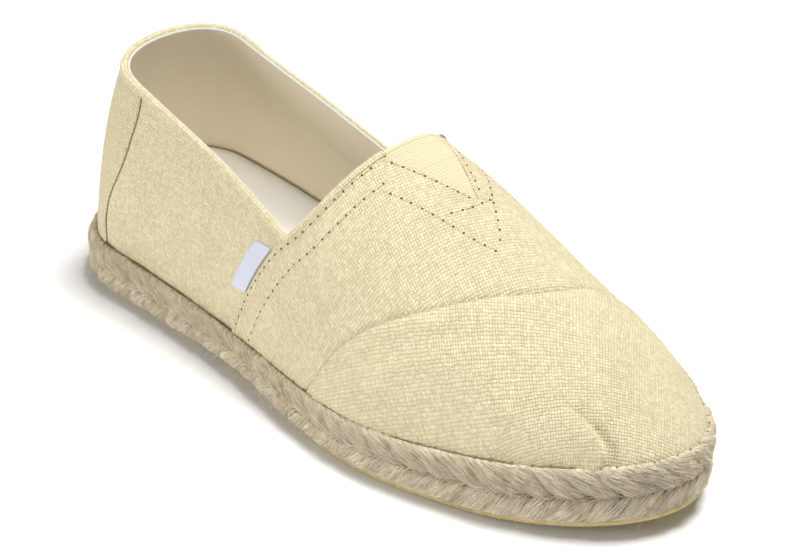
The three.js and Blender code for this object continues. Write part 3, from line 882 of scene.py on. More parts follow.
def back_edge(side):
    """Theta and side angle of the vamp's back edge: low part, throat, then one arm of the V."""
    psi = np.linspace(1.2, 1.75, 400)
    line = at_top(psi, side)
    join_psi = np.interp(JOIN, line[:, 0], psi)
    phi, theta = chalk(LOW_MARKS[side] + [tuple(at_top(join_psi, side))], 2.0)
    low = np.c_[theta, on_side(phi, side)]
    low[0, 0] = 0.0
    end = ARM_END[side]
    arm_y = APEX[1] + (end[1] - APEX[1]) * (APEX[0] - line[:, 0]) / (APEX[0] - end[0])
    past = (line[:, 1] - arm_y) * side < 0
    corner = psi[np.argmax(past & (psi > join_psi))]
    climb = np.linspace(join_psi, corner, 40)[1:]
    throat = np.c_[top_angle(on_side(climb, side)), climb]
    start = last(on_side(corner, side), throat[-1, 0])
    xs = np.linspace(start[0], APEX[0], 30)
    phi, theta = above(xs, np.interp(xs, [start[0], APEX[0]], [start[1], APEX[1]]))
    arm = np.c_[theta, on_side(phi, side)][1:]
    arm[-1] = pi / 2, phi_of(APEX[0])
    rows = np.concatenate([low, throat, arm])
    rows[:, 0] = climbing(rows[:, 0])
    return rows, join_psi, corner


def front_edge():
    """Theta and side angle of the toe seam on both sides; they meet on the ridge."""
    phi, theta = chalk(TOE_MARKS, 1.5)
    outer, inner = phi < pi, phi >= pi
    meet = phi_of(np.interp(0.0, [-1, 1], [station(phi[outer][-1]), station(phi[inner][0])]))
    found = {}
    for side, mask, order in ((-1, outer, 1), (1, inner, -1)):
        rows = np.c_[theta[mask], on_side(phi[mask], side)][::order]
        rows[0, 0] = 0.0
        rows = np.concatenate([rows, [[pi / 2, meet]]])
        rows[:, 0] = climbing(rows[:, 0])
        found[side] = rows
    return found


backs = {side: back_edge(side) for side in (-1, 1)}
fronts = front_edge()
for side in (-1, 1):
    _, join_psi, corner = backs[side]
    print("side", side, "junction", np.round(at_top(join_psi, side), 1),
          "throat corner", np.round(at_top(corner, side), 1),
          "toe seam meets ridge at", round(float(station(fronts[side][-1, 1])), 1))

# %% [markdown]
# ## Soft shape in the cloth
# Canvas pulled over a last is never perfectly even. It sinks a little along some lines and stands up along others:
# behind the toe seam, above the pleats, beside the throat. Each of these is a line with a width and a height, put
# where this shoe has it. The same list shapes every panel, so a crease may cross a seam.

# %% Troughs, ridges and distances
# how far a panel reaches down behind the rope
SKIRT = 2.6


def away(points, line):
    """Distance from each point to a polyline, how far along the line its nearest place is, and the step from that
    place to the point."""
    flat = points.reshape(-1, 3)
    best, where, step_to = np.full(len(flat), 1e9), np.zeros(len(flat)), np.zeros(flat.shape)
    start = 0.0
    for a, b in zip(line[:-1], line[1:]):
        step = b - a
        size = max(float(np.linalg.norm(step)), 1e-9)
        t = np.clip((flat - a) @ step / size ** 2, 0, 1)
        reach = flat - a - t[:, None] * step
        gap = np.linalg.norm(reach, axis=1)
        nearer = gap < best
        best, where = np.where(nearer, gap, best), np.where(nearer, start + t * size, where)
        step_to[nearer] = reach[nearer]
        start += size
    return best.reshape(points.shape[:-1]), where.reshape(points.shape[:-1]), step_to.reshape(points.shape)


# %% The creases of this shoe
# marks of the line, half width in mm, height in mm (below zero is a trough)
FOLDS = [
    ([(150, -41, 22), (160, -38, 35), (172, -32, 46)], 5.0, -0.7),
    ([(163, -41, 24), (176, -36, 40)], 6.0, 0.5),
    ([(205, -30, 38), (214, -34, 26)], 5.0, -0.4),
    ([(128, -38, 38), (140, -36, 48), (150, -30, 58)], 7.0, 0.4),
    ([(122, -37, 22), (134, -40, 30)], 6.0, -0.4),
    ([(60, -30, 30), (82, -31, 40)], 9.0, -0.5),
    ([(40, -29, 45), (62, -28, 58)], 9.0, 0.5),
    ([(90, -33, 24), (100, -33, 46)], 6.0, 0.35),
    ([(60, 30, 30), (85, 31, 42)], 9.0, -0.5),
    ([(150, 40, 24), (165, 40, 38)], 6.0, -0.5),
    ([(210, 34, 36), (218, 38, 26)], 5.0, -0.4),
    ([(166, -38.5, 33), (176, -33, 42), (186, -26, 48)], 4.0, -0.8),
    ([(172, -36, 42), (186, -37.5, 34), (198, -38, 28)], 5.0, -0.55),
    ([(196, -30, 42), (210, -31, 36)], 6.0, 0.5),
    ([(176, -8, 67), (186, 8, 62), (190, 22, 55)], 6.0, -0.35),
]
# marks of each pleat, the way to the side that bulges over it, and its size
PLEATS = [
    ([(219.5, -20.5, 40), (224, -18.6, 38), (227.5, -16.8, 36.2), (230.6, -16, 34.2), (234, -15.6, 32),
      (236.9, -15.4, 29.9), (238.8, -15.5, 27.9), (239.8, -16.3, 25.5), (239.6, -17.4, 23.4), (239, -18.2, 21)],
     (-0.6, -0.8, 0), 1.3),
    ([(222, 31, 37), (227, 31.5, 34), (231, 32, 31), (234.2, 32.6, 28), (235.8, 33.4, 25), (235.5, 34.6, 21)],
     (-0.6, 0.8, 0), 0.8),
]


def soft_shape(points):
    """Height in mm of all troughs and ridges: each a bell across its line, fading beyond its ends; a pleat is a step
    down from a rolled bulge to a dip, and it fades towards the sole."""
    height = np.zeros(points.shape[:-1])
    for marks, width, tall in FOLDS:
        height += tall * np.exp(-(away(points, np.array(marks, float))[0] / width) ** 2)
    for marks, bulge_side, size in PLEATS:
        line = np.array(marks, float)
        gap, where, step_to = away(points, line)
        total = np.linalg.norm(np.diff(line, axis=0), axis=1).sum()
        across_ = gap * np.where(step_to @ np.array(bulge_side, float) > 0, 1, -1)
        bulge = 1.5 * smooth(-0.7, 1.0, across_) * np.exp(-(np.maximum(across_ - 0.9, 0) / 4.2) ** 2)
        dip = 1.15 * (1 - smooth(-0.7, 0.8, across_)) * np.exp(-(np.minimum(across_, 0) / 2.8) ** 2)
        over_sole = 0.3 + 0.7 * smooth(0, 5, points[..., 2] - platform(points[..., 0]))
        height += size * smooth(0.0, 0.7 * total, where) * over_sole * (bulge - dip)
    return height


print("folds placed:", len(FOLDS), "pleats:", len(PLEATS))

# %% Edges, columns and panels
def hem(gap, thick, radius=0.9):
    """Height of a turned edge: a quarter round that reaches full thickness at one radius from the edge."""
    t = np.clip(gap / radius, 0, 1)
    return thick * np.sqrt(np.maximum(1 - (1 - t) ** 2, 0))


def even_theta(phi, gap):
    """Angles up one rib so that rows are gap mm apart."""
    drop = np.array([np.interp(phi, rib_phi, rib_drop[:, j]) for j in range(65)])
    rows = max(int(drop[0] / gap), 4)
    return np.interp(np.linspace(drop[0], 0, rows + 1), drop[::-1], rib_theta[::-1])


def spread(width, close, gap, last_close=()):
    """Column places in mm across rows of different widths: close ones at the ends, even ones between, the same count
    in each row."""
    first, final = np.asarray(close, float), np.asarray(last_close, float)
    count = max(int(np.max(width) / gap), 3)
    low = first[-1] if len(first) else 0.0
    high = final[-1] if len(final) else 0.0
    t = np.linspace(0, 1, count + 1)
    t = t[1:] if len(first) else t
    t = t[:-1] if len(final) else t
    middle = low + (width[:, None] - low - high) * t
    left = np.broadcast_to(first, (len(width), len(first)))
    right = width[:, None] - np.broadcast_to(final[::-1], (len(width), len(final)))
    return np.concatenate([left, middle, right], axis=1)


def between(a, b, place, width):
    """Angles between the two edges of each row, at places in mm across its width."""
    return a[:, None] + (b - a)[:, None] * place / width[:, None]


def row_width(phi_a, phi_b, theta):
    """Length in mm of each row between two angles."""
    t = np.linspace(0, 1, 13)
    p = last(phi_a[:, None] + (phi_b - phi_a)[:, None] * t, np.broadcast_to(theta[:, None], (len(theta), 13)))
    return np.linalg.norm(np.diff(p, axis=1), axis=-1).sum(1)


def raised(phi, theta, height, skirts, measure=unroll):
    """Points at a height over the last. A skirt row is added below each sole edge named in skirts, to tuck behind
    the rope."""
    base, normal = skin(phi, theta)
    grid = base + normal * np.asarray(height)[..., None]
    flat = measure(phi, theta)
    for row in skirts:
        tuck, beyond = grid[row] - (0, 0, SKIRT), flat[row]
        grid = np.concatenate([tuck[None], grid] if row == 0 else [grid, tuck[None]])
        flat = np.concatenate([beyond[None], flat] if row == 0 else [flat, beyond[None]])
    return grid, flat


def panel(name, phi, theta, height, depth, material, turn, skirts=(0,), folded=False, measure=unroll):
    """A sewn panel: a shell from height down to depth over the last, with its weave turned by some degrees."""
    outer, flat = raised(phi, theta, height, skirts, measure)
    inner, _ = raised(phi, theta, np.minimum(np.full(phi.shape, float(depth)), height - 0.1), skirts)
    points, faces = shell(outer, inner, folded)
    flat = turn_flat(flat.reshape(-1, 2), turn)
    return piece(name, points, faces, material, ("upper",), np.concatenate([flat, flat]), weld=0.004)


print("a turned edge 0.95 mm thick stands", round(float(hem(0.3, 0.95)), 2), "mm high 0.3 mm in from its edge")

# %% [markdown]
# ## The vamp
# The vamp covers the foot from the toe seam back to the throat, and laps over the sides with a turned edge. It is
# one grid whose rows run from the outer sole edge, over the ridge, to the inner sole edge. Its back column follows
# the chalked edge exactly, with columns crowded there so that the turned edge is round.

# %% Vamp
def vamp_grid():
    """Rows from the outer sole edge over the ridge to the inner one; columns from the back edge to the toe seam."""
    angles, thetas, widths = [], [], []
    for side in (-1, 1):
        back, join_psi, corner = backs[side]
        theta = even_theta(on_side(1.75, side), 1.0)
        extra = [top_angle(np.array(on_side(psi, side))).item() for psi in (join_psi, corner)]
        theta = np.unique(np.concatenate([theta, extra]))
        a, b = np.interp(theta, back[:, 0], back[:, 1]), np.interp(theta, fronts[side][:, 0], fronts[side][:, 1])
        if side > 0:
            theta, a, b = theta[-2::-1], a[-2::-1], b[-2::-1]
        width = row_width(on_side(a, side), on_side(b, side), theta)
        thetas.append(theta), widths.append(width), angles.append((a, b, np.full(len(a), side)))
    a, b, side = (np.concatenate([angles[0][k], angles[1][k]]) for k in range(3))
    theta, width = np.concatenate(thetas), np.concatenate(widths)
    place = spread(width, (0, 0.15, 0.4, 0.8, 1.4, 2.2), 0.95, (0, 0.3, 0.7, 1.2, 2.0))
    psi = between(a, b, place, width)
    phi = np.where(side[:, None] < 0, psi, 2 * pi - psi)
    return phi, np.broadcast_to(theta[:, None], phi.shape)


def vamp_thick(points):
    """Thickness of the vamp's turned edge: thinner at the top, where it lies on the elastic."""
    return 0.95 - 0.35 * smooth(130, 140, points[..., 0]) * smooth(70, 78, points[..., 2])


phi, theta = vamp_grid()
base = last(phi, theta)
vamp_back, toe_line = base[:, 0].copy(), base[:, -1].copy()
from_back = away(base, vamp_back)[0]
from_toe = away(base, toe_line)[0]
vamp_height = (hem(from_back, vamp_thick(base)) - 0.5 * np.exp(-(from_toe / 0.8) ** 2) + soft_shape(base)
               - 0.12 * np.exp(-((from_back - 4.6) / 2.2) ** 2))
panel("vamp", phi, theta, vamp_height, -0.5, canvas, -20, (0, -1))

# %% [markdown]
# ## The toe cap
# The cap closes the front. Its grid goes once round the toe from seam to seam, with rows that climb to the ridge,
# where the top row lies on itself and is sewn shut. It is fuller than the vamp, so it stands up just in front of
# the seam.

# %% Toe cap
def cap_grid():
    """Rows once round the toe from seam to seam, one over another up to the ridge."""
    theta = even_theta(pi, 0.8)
    halves = []
    for side in (-1, 1):
        a = np.interp(theta, fronts[side][:, 0], fronts[side][:, 1])
        b = np.full(len(theta), pi)
        width = row_width(on_side(a, side), on_side(b, side), theta)
        place = spread(width, (0, 0.3, 0.7, 1.2, 2.0), 0.7)
        psi = between(a, b, place, width)
        halves.append(psi if side < 0 else (2 * pi - psi)[:, -2::-1])
    phi = np.concatenate(halves, axis=1)
    return phi, np.broadcast_to(theta[:, None], phi.shape)


phi, theta = cap_grid()
base = last(phi, theta)
from_toe = away(base, toe_line)[0]
fullness = 0.55 * smooth(0, 5, from_toe) * (1 - 0.6 * smooth(8, 40, from_toe))
cap_height = 0.95 - 0.5 * np.exp(-(from_toe / 0.8) ** 2) + fullness + soft_shape(base)
panel("toe_cap", phi, theta, cap_height, -0.5, canvas, 45, (0,), folded=True)

# %% [markdown]
# ## The sides and the heel strip
# Each side panel runs from under the heel strip to under the vamp, with its top at the collar. The strip covers the
# back seam and has a turned edge on both sides.

# %% Side panels and heel strip
def heel_edge(side, t):
    """Side angle of the heel strip's seam at each share of the height up the rib."""
    marks = [(x, side * 28.5, z) for x, z in HEEL_MARKS]
    phi, theta = chalk(marks, 2.0)
    phi = np.where(phi > pi, 2 * pi - phi, phi)
    share = theta / top_angle(on_side(phi, side))
    share[0] = 0.0
    return np.interp(t, climbing(share), phi)


def low_edge(side, t):
    """Side angle of the vamp's back edge, below the collar, at each share of the height."""
    back, join_psi, _ = backs[side]
    low = back[back[:, 1] <= join_psi + 1e-6]
    share = low[:, 0] / top_angle(on_side(low[:, 1], side))
    return np.interp(t, climbing(share), low[:, 1])


def side_panel(side):
    """Rows from the sole to the collar; columns from under the heel strip to under the vamp."""
    t = np.linspace(0, 1, 58)
    a, b = heel_edge(side, t) - 0.05, low_edge(side, t) + 0.034
    f = np.linspace(0, 1, 84)
    psi = a[:, None] + (b - a)[:, None] * f
    phi = on_side(psi, side)
    return phi, t[:, None] * top_angle(phi)


for side, name in ((-1, "side_outer"), (1, "side_inner")):
    phi, theta = side_panel(side)
    panel(name, phi, theta, soft_shape(last(phi, theta)), -0.9, canvas, 0, measure=upright)


def strip_grid():
    """Rows from the sole to the collar across the back seam, closer together at the two turned edges."""
    t = np.linspace(0, 1, 60)
    a, b = -heel_edge(1, t), heel_edge(-1, t)
    width = row_width(a, b, t * 0.8)
    place = spread(width, (0, 0.15, 0.4, 0.8, 1.4), 1.2, (0, 0.15, 0.4, 0.8, 1.4))
    phi = between(a, b, place, width)
    return phi, t[:, None] * top_angle(phi)


phi, theta = strip_grid()
base = last(phi, theta)
seam_gap = np.minimum(away(base, base[:, 0])[0], away(base, base[:, -1])[0])
heel_lines = {1: (phi[:, 0].copy(), theta[:, 0].copy()), -1: (phi[:, -1].copy(), theta[:, -1].copy())}
panel("heel_strip", phi, theta, hem(seam_gap, 0.7) + soft_shape(base), -0.8, canvas_heel, 0, measure=upright)

# %% [markdown]
# ## The lining
# Inside is a smooth lining that covers the whole wall and the underside of the vamp. It is a second shell, deeper
# than the canvas. Its rows stop at the collar round the opening, and are sewn shut along the ridge in front of it.

# %% Lining
def lining_grid(columns=240, rows=40):
    """Even columns round the wall, with more of them at the throat, where the top line climbs steeply."""
    near = phi_of(np.linspace(116, THROAT, 48))
    past = [near[-1] + 1e-3, 2 * pi - near[-1] - 1e-3]
    phi = np.unique(np.concatenate([np.linspace(0, 2 * pi, columns + 1)[:-1], near, 2 * pi - near, past]))
    phi = np.broadcast_to(phi, (rows, len(phi)))
    t = np.linspace(0, 1, rows)[:, None]
    return phi, t * top_angle(phi)


phi, theta = lining_grid()
base, normal = skin(phi, theta)
outer, inner = base - normal * 1.0, base - normal * WALL
count = phi.size
index = np.arange(count).reshape(phi.shape)
faces = quads(*phi.shape, False, True)
walls = []
for row in (index[0], index[-1]):
    after = np.roll(row, -1)
    walls.append(np.stack([row, after, after + count, row + count], -1))
open_top = theta[-1] < pi / 2 - 1e-3
top_wall = walls[1][open_top | np.roll(open_top, -1)][:, ::-1]
piece("lining", np.concatenate([outer.reshape(-1, 3), inner.reshape(-1, 3)]),
      np.concatenate([faces, faces[:, ::-1] + count, walls[0], top_wall]), lining_cloth, ("upper",),
      np.tile(unroll(phi, theta).reshape(-1, 2), (2, 1)), weld=0.004)

# %% [markdown]
# ## Elastic at the throat
# A wedge of ribbed elastic fills the V, so that the shoe stretches as it goes on. Its ribs are real ridges a
# millimetre apart. They run parallel to its top edge, which is left smooth.

# %% Elastic wedge
def throat_top(side, count=40):
    """Angles along the throat's cut, from the V's corner on one side up to the ridge."""
    _, _, corner = backs[side]
    psi = np.linspace(corner, corner + 0.08, 400)
    top = top_angle(on_side(psi, side))
    stop = int(np.argmax(top > pi / 2 - 1e-3)) or 399
    ease = np.linspace(0, 1, count)
    pick = np.interp(1 - (1 - ease) ** 2, np.linspace(0, 1, stop + 1), psi[:stop + 1])
    return on_side(pick, side), top_angle(on_side(pick, side))


def resample(line, count):
    """The same line with evenly spaced points."""
    far = measured(line)
    return read_along(np.linspace(0, far[-1], count), far, line)


top_line = np.concatenate([last(*throat_top(-1)), last(*throat_top(1))[::-1]])
gore_rows, gore_columns, RIB = 132, 30, 1.05
start_line = resample(top_line, gore_columns)[:, :2]
corner_a, corner_b = start_line[0], start_line[-1]
across = unit(corner_b - corner_a)
r, c = np.linspace(0, 1, gore_rows)[:, None, None], np.linspace(0, 1, gore_columns)[None, :, None]
arm_a = corner_a + (np.array(APEX) - corner_a) * r - across * 1.3
arm_b = corner_b + (np.array(APEX) - corner_b) * r + across * 1.3
bow = start_line - (corner_a + (corner_b - corner_a) * c[0])
plan = arm_a * (1 - c) + arm_b * c + bow[None] * (1 - r)
phi, theta = above(plan[..., 0], plan[..., 1])
from_top = np.linalg.norm(plan - plan[:1], axis=-1).mean(1, keepdims=True) * np.ones((1, gore_columns))
rib_wave = np.abs(np.cos(pi * from_top / RIB)) ** 0.7
gore_height = -0.4 + 0.38 * rib_wave * smooth(2.4, 3.0, from_top) + 0.35 * (1 - smooth(2.0, 2.8, from_top))
base, normal = skin(phi, theta)
points, faces = shell(base + normal * gore_height[..., None], base - normal * 1.5)
measure = np.stack([from_top, np.broadcast_to(np.linspace(0, 25, gore_columns), from_top.shape)], -1).reshape(-1, 2)
elastic = cloth("elastic", tone(230, 221, 190), tone(204, 192, 156), 0.5, 0.05, slub=0.3)
piece("elastic_wedge", points, faces, elastic, ("gore",), np.concatenate([measure, measure]), weld=0.004)

# %% [markdown]
# ## Folded edges
# The canvas is folded over at the collar and down the throat, and the lining's own white edge shows just inside the
# fold. Each is a closed profile carried along the edge, with one direction square to the cloth and one up it.

# %% Collar and throat folds
def edge_frame(phi, theta):
    """Points on the last with their outward normals and the direction up the cloth, square to the line."""
    base, normal = skin(phi, theta)
    along = unit(np.gradient(base, axis=0))
    up = unit(np.cross(along, normal))
    up *= np.where(up[:, 2:] < 0, -1, 1)
    return base, normal, up


def fold(name, phi, theta, profile, extra, material, replaces=("upper",)):
    """A closed profile of (outward, up) offsets carried along an edge; extra is added to its outward side at each
    point."""
    base, normal, up = edge_frame(phi, theta)
    profile = np.array(profile, float)
    out = profile[None, :, 0] + np.asarray(extra)[:, None] * smooth(-1.0, 0.4, profile[None, :, 0])
    grid = base[:, None] + normal[:, None] * out[..., None] + up[:, None] * profile[None, :, 1:2]
    rows, columns = grid.shape[:2]
    flat = np.stack(np.meshgrid(measured(base), measured(profile), indexing="ij"), -1)
    faces = quads(rows, columns, False, True).tolist()
    faces += [list(range(columns))[::-1], list(range((rows - 1) * columns, rows * columns))]
    return piece(name, grid, faces, material, replaces, flat)


def even_line(phi_a, phi_b, gap):
    """Angles along the collar between two phi, evenly spaced in mm."""
    phi = np.linspace(phi_a, phi_b, 1500)
    far = measured(last(phi, top_angle(phi)))
    phi = np.interp(np.linspace(0, far[-1], int(far[-1] / gap) + 1), far, phi)
    return phi, top_angle(phi)


FOLD = [(0.05, -2.0), (0.36, -1.9), (0.5, -1.6), (0.52, -1.1), (0.5, -0.5), (0.4, -0.05), (0.12, 0.35), (-0.4, 0.6),
        (-1.0, 0.55), (-1.35, 0.2), (-1.45, -0.6), (-1.45, -1.9), (-0.6, -2.0)]
BEAD = [(-1.25, -0.9), (-1.2, -0.2), (-1.35, 0.15), (-1.6, 0.3), (-1.9, 0.15), (-2.05, -0.3), (-2.05, -0.8),
        (-1.95, -1.1), (-1.6, -1.2), (-1.3, -1.15)]
# an angle worth 1 to 1.5 mm along the collar
NEAR = 0.012
join_outer, join_inner = backs[-1][1], backs[1][1]
phi, theta = even_line(-join_inner - NEAR, join_outer + NEAR, 1.1)
strip_a, strip_b = -heel_edge(1, np.array([1.0]))[0], heel_edge(-1, np.array([1.0]))[0]
over_strip = smooth(strip_a - NEAR, strip_a + NEAR, phi) * (1 - smooth(strip_b - NEAR, strip_b + NEAR, phi))
fold("collar_fold", phi, theta, FOLD, 0.55 * over_strip, canvas)
fold("collar_lining_edge", phi, theta, BEAD, 0 * phi, lining_edge, ())
for side, name in ((-1, "throat_fold_outer"), (1, "throat_fold_inner")):
    _, join_psi, corner = backs[side]
    ends = sorted((on_side(join_psi - 0.004, side), on_side(corner + 0.002, side)))
    phi, theta = even_line(ends[0], ends[1], 0.8)
    fold(name, phi, theta, FOLD, np.full(phi.shape, 0.62), canvas)
line = [np.concatenate([a, b[::-1]]) for a, b in zip(throat_top(-1), throat_top(1))]
keep = np.r_[True, np.diff(measured(last(*line))) > 0.15]
fold("elastic_top_fold", line[0][keep], line[1][keep], [(x - 0.3, y * 0.8) for x, y in FOLD], np.zeros(keep.sum()),
     elastic, ("gore",))

# %% [markdown]
# ## Stitches
# Every sewn line is a row of short threads that dive into needle holes, whose shade is painted on as small dark lenses.
# One thread and one lens are small closed shapes with few faces. Whole rows of them are placed at once, each turned to
# its own place on the cloth.

# %% Rows of stitches
def row_frames(line, normals, gap, start=0.0, shake=0.0, seed=0):
    """Places at even gaps along a line, with the line's direction and the cloth's normal there."""
    far = measured(line)
    at = np.arange(start + gap / 2, far[-1] - gap / 3, gap)
    at = at + np.random.default_rng(seed).normal(0, shake, len(at))
    place, normal = read_along(at, far, line), unit(read_along(at, far, normals))
    ahead = read_along(at + 0.3, far, line) - read_along(at - 0.3, far, line)
    along = unit(ahead - normal * (ahead * normal).sum(1, keepdims=True))
    return place, along, normal


def threads(frames, length, radius, rise_=0.35, rings=6, sides=6):
    """Short arched threads: thick in the middle, their ends pushed down into the cloth."""
    place, along, normal = frames
    t = np.linspace(-1, 1, rings)
    lift = radius * (rise_ + 1.0) * (1 - t ** 2) - radius * 0.9
    thick = radius * (1 - 0.55 * t ** 4)
    angle = np.linspace(0, 2 * pi, sides + 1)[:-1]
    side = np.cross(normal, along)
    length = np.broadcast_to(length, (len(place),))
    grid = (place[:, None, None] + along[:, None, None] * (t[None, :, None, None] * length[:, None, None, None] / 2)
            + normal[:, None, None] * (lift[:, None, None] + thick[:, None, None] * np.sin(angle)[None, :, None])[None]
            + side[:, None, None] * (thick[:, None, None] * np.cos(angle)[None, :, None])[None])
    count, per = len(place), rings * sides
    face = quads(rings, sides, False, True)
    faces = (face[None] + np.arange(count)[:, None, None] * per).reshape(-1, 4).tolist()
    ends = [list(range(sides))[::-1], list(range(per - sides, per))]
    for k in range(count):
        faces += [[v + k * per for v in e] for e in ends]
    flat = np.stack(np.meshgrid(t * length.mean() / 2, angle, indexing="ij"), -1)
    return grid.reshape(-1, 3), faces, np.tile(flat.reshape(-1, 2), (count, 1))


def holes(frames, long, wide, lift):
    """Flat dark lenses at the needle holes, eight sided: painted shade for the holes."""
    place, along, normal = frames
    side = np.cross(normal, along)
    angle = np.linspace(0, 2 * pi, 9)[:-1]
    ring = along[:, None] * np.cos(angle)[None, :, None] * long + side[:, None] * np.sin(angle)[None, :, None] * wide
    rim = place[:, None] + ring + normal[:, None] * (lift - 0.12)
    top, low = place[:, None] + normal[:, None] * lift, place[:, None] + normal[:, None] * (lift - 0.3)
    grid = np.concatenate([top, rim, low], axis=1)
    base = np.array([[0, 1 + k, 1 + (k + 1) % 8] for k in range(8)] + [[9, 1 + (k + 1) % 8, 1 + k] for k in range(8)])
    faces = (base[None] + np.arange(len(place))[:, None, None] * 10).reshape(-1, 3)
    return grid.reshape(-1, 3), faces, np.zeros((len(place) * 10, 2))


# %% Rows put together, and lines on the cloth
def gather(parts):
    """Several arrays of points, faces and flat measures as one."""
    points, faces, flats, start = [], [], [], 0
    for p, f, m in parts:
        points.append(p), flats.append(m)
        faces += [[v + start for v in face] for face in (f.tolist() if isinstance(f, np.ndarray) else f)]
        start += len(p)
    return np.concatenate(points), faces, np.concatenate(flats)


def sewn(name, parts, material):
    """One piece from rows of threads or of needle holes."""
    points, faces, flat = gather(parts)
    return piece(name, points, faces, material, flat=flat)


def on_cloth(phi, theta, height):
    """A line at a height over the last, with its normals."""
    base, normal = skin(phi, theta)
    return base + normal * height, normal


def beside(line_phi, line_theta, gap, side_point):
    """A line moved sideways over the surface by gap, to the side on which side_point lies."""
    base, normal = skin(line_phi, line_theta)
    along = unit(np.gradient(base, axis=0))
    across_ = np.cross(normal, along)
    towards = ((np.asarray(side_point) - base) * across_).sum(1).mean()
    return onto(base + across_ * gap * np.sign(towards))


# %% The vamp's rows
# row A follows the vamp's edge and the arms of the V, row B stands further in, a cross row joins its two arms
STITCH = 3.7
rows_a, rows_b = [], []
for side in (-1, 1):
    back, join_psi, corner = backs[side]
    ball = (160, side * 36, 45)
    theta_c = top_angle(np.array(on_side(corner, side))).item()
    low = back[back[:, 0] <= theta_c]
    arm = back[back[:, 0] >= theta_c - 1e-6]
    arm = arm[:int(len(arm) * 0.97)]
    trim = 0 if side < 0 else 4
    start = 1 + trim * 3 // 2
    low_z = last(on_side(low[:, 1], side), low[:, 0])[:, 2]
    gap = (1.5 + 1.2 * smooth(48, 60, low_z))[:, None] if side < 0 else 2.7
    rows_a.append(tuple(v[1:len(low) - trim] for v in beside(on_side(low[:, 1], side), low[:, 0], gap, ball)))
    rows_a.append(beside(on_side(arm[start:, 1], side), arm[start:, 0], 1.5, (160, side * 20, 70)))
    wide_row = beside(on_side(low[1:, 1], side), low[1:, 0], 9.4, ball)
    keep = last(*wide_row)[:, 0] < 145.6
    rows_b.append(tuple(v[keep] for v in wide_row))
rows_b.append(chalk([(143.9, -16.1, 77), (152.5, -13.4, 75.5), (162.2, -10.5, 73), (172.7, -7.3, 69.5),
                     (181.9, -3.2, 65.9)]))
rows_b.append(chalk([(146.5, 22.5, 77), (157, 16.5, 75.8), (167.6, 8.5, 73.8), (175.9, 2.7, 70), (181.9, -3.2, 65.9)]))
cross_row = chalk([(163.2, -9.5, 73), (166.4, -0.5, 74.3), (166.6, 9.5, 74)])
parts, dark = [], []
for number, (phi, theta) in enumerate(rows_a + rows_b + [cross_row]):
    base, normals = skin(phi, theta)
    line = base + normals * (vamp_thick(base) - 0.02 + soft_shape(base))[:, None]
    parts.append(threads(row_frames(line, normals, STITCH), STITCH * 0.68, 0.22))
    # painted shade: a dark lens at each needle hole
    dark.append(holes(row_frames(line, normals, STITCH, STITCH / 2, 0.08, number), 0.47, 0.4, 0.16))
sewn("vamp_stitches", parts, cream_thread)
sewn("vamp_hole_shade", dark, needle_hole_shade)

# %% [markdown]
# ## Seams at the toe, heel and sole
# The toe seam and the heel strip are sewn with short close stitches. A longer olive thread goes once round the foot
# of the cloth and ties it to the rope, with a small loop over it at every second stitch.

# %% Seam threads at the toe, heel and sole
_, normal_at_toe = skin(*onto(toe_line[::3]))
toe_seam = toe_line[::3] + normal_at_toe * (0.42 + soft_shape(toe_line[::3]))[:, None]
sewn("toe_seam_thread", [threads(row_frames(toe_seam, normal_at_toe, 2.9, 2.0, 0.05, 5), 2.3, 0.2)], cream_thread)
# painted shade: dark lenses at the toe seam's needle holes
pricks = holes(row_frames(toe_seam, normal_at_toe, 5.8, 3.4, 0.5, 6), 0.45, 0.25, 0.12)
sewn("toe_hole_shade", [pricks], needle_hole_shade)
parts = []
for side in (-1, 1):
    line, normals = on_cloth(*heel_lines[side], 0.12)
    line += normals * soft_shape(line)[:, None]
    parts.append(threads(row_frames(line, normals, 2.1, 0.0, 0.04, 7), 2.6, 0.19))
sewn("heel_seam_thread", parts, olive_thread)

# %% The thread round the foot of the cloth
ring_phi = phi_at(np.linspace(0, ROUND, 481)[:-1])
shake = np.random.default_rng(21)
turned = np.linspace(0, 2 * pi, 481)[:-1]
wander = sum(shake.normal(0, 0.12) * np.sin(k * turned + shake.uniform(0, 6)) for k in range(4, 46, 3))
base, normal = skin(ring_phi, np.full(480, 0.03))
outer = ring_phi < pi
ahead_of_edge = base[:, 0] - np.where(outer, 95.0, 103.0)
ahead_of_seam = base[:, 0] - np.where(outer, 139.5, 187.0)
ring_line = base + normal * (0.7 + 0.42 * smooth(-1, 2, ahead_of_edge) + 0.3 * smooth(0, 6, ahead_of_seam))[:, None]
ring_line[:, 2] = platform(base[:, 0]) + 1.25 + 0.35 * wander + 0.35 * smooth(170, 215, base[:, 0])
closed = np.concatenate([ring_line, ring_line[:1]])
closed_normal = np.concatenate([normal, normal[:1]])
parts = [threads(row_frames(closed, closed_normal, 3.1, 0, 0.1, 9), 4.1, 0.2, 0.1)]
place, along, normal = row_frames(closed, closed_normal, 6.2, 1.5, 0.8, 10)
parts.append(threads((place + normal * 0.05, unit(along * 0.5 - np.array([0, 0, 0.9])), normal), 1.3, 0.28))
sewn("sole_seam_thread", parts, olive_thread)

# %% [markdown]
# ## Side ribbon
# A short folded ribbon is sewn to the outer side. Its front edge lies along the vamp's back edge, its back edge is a
# rounded fold, and its two ends are pressed down. It is a sheet blended between four places on the last. It is bare.

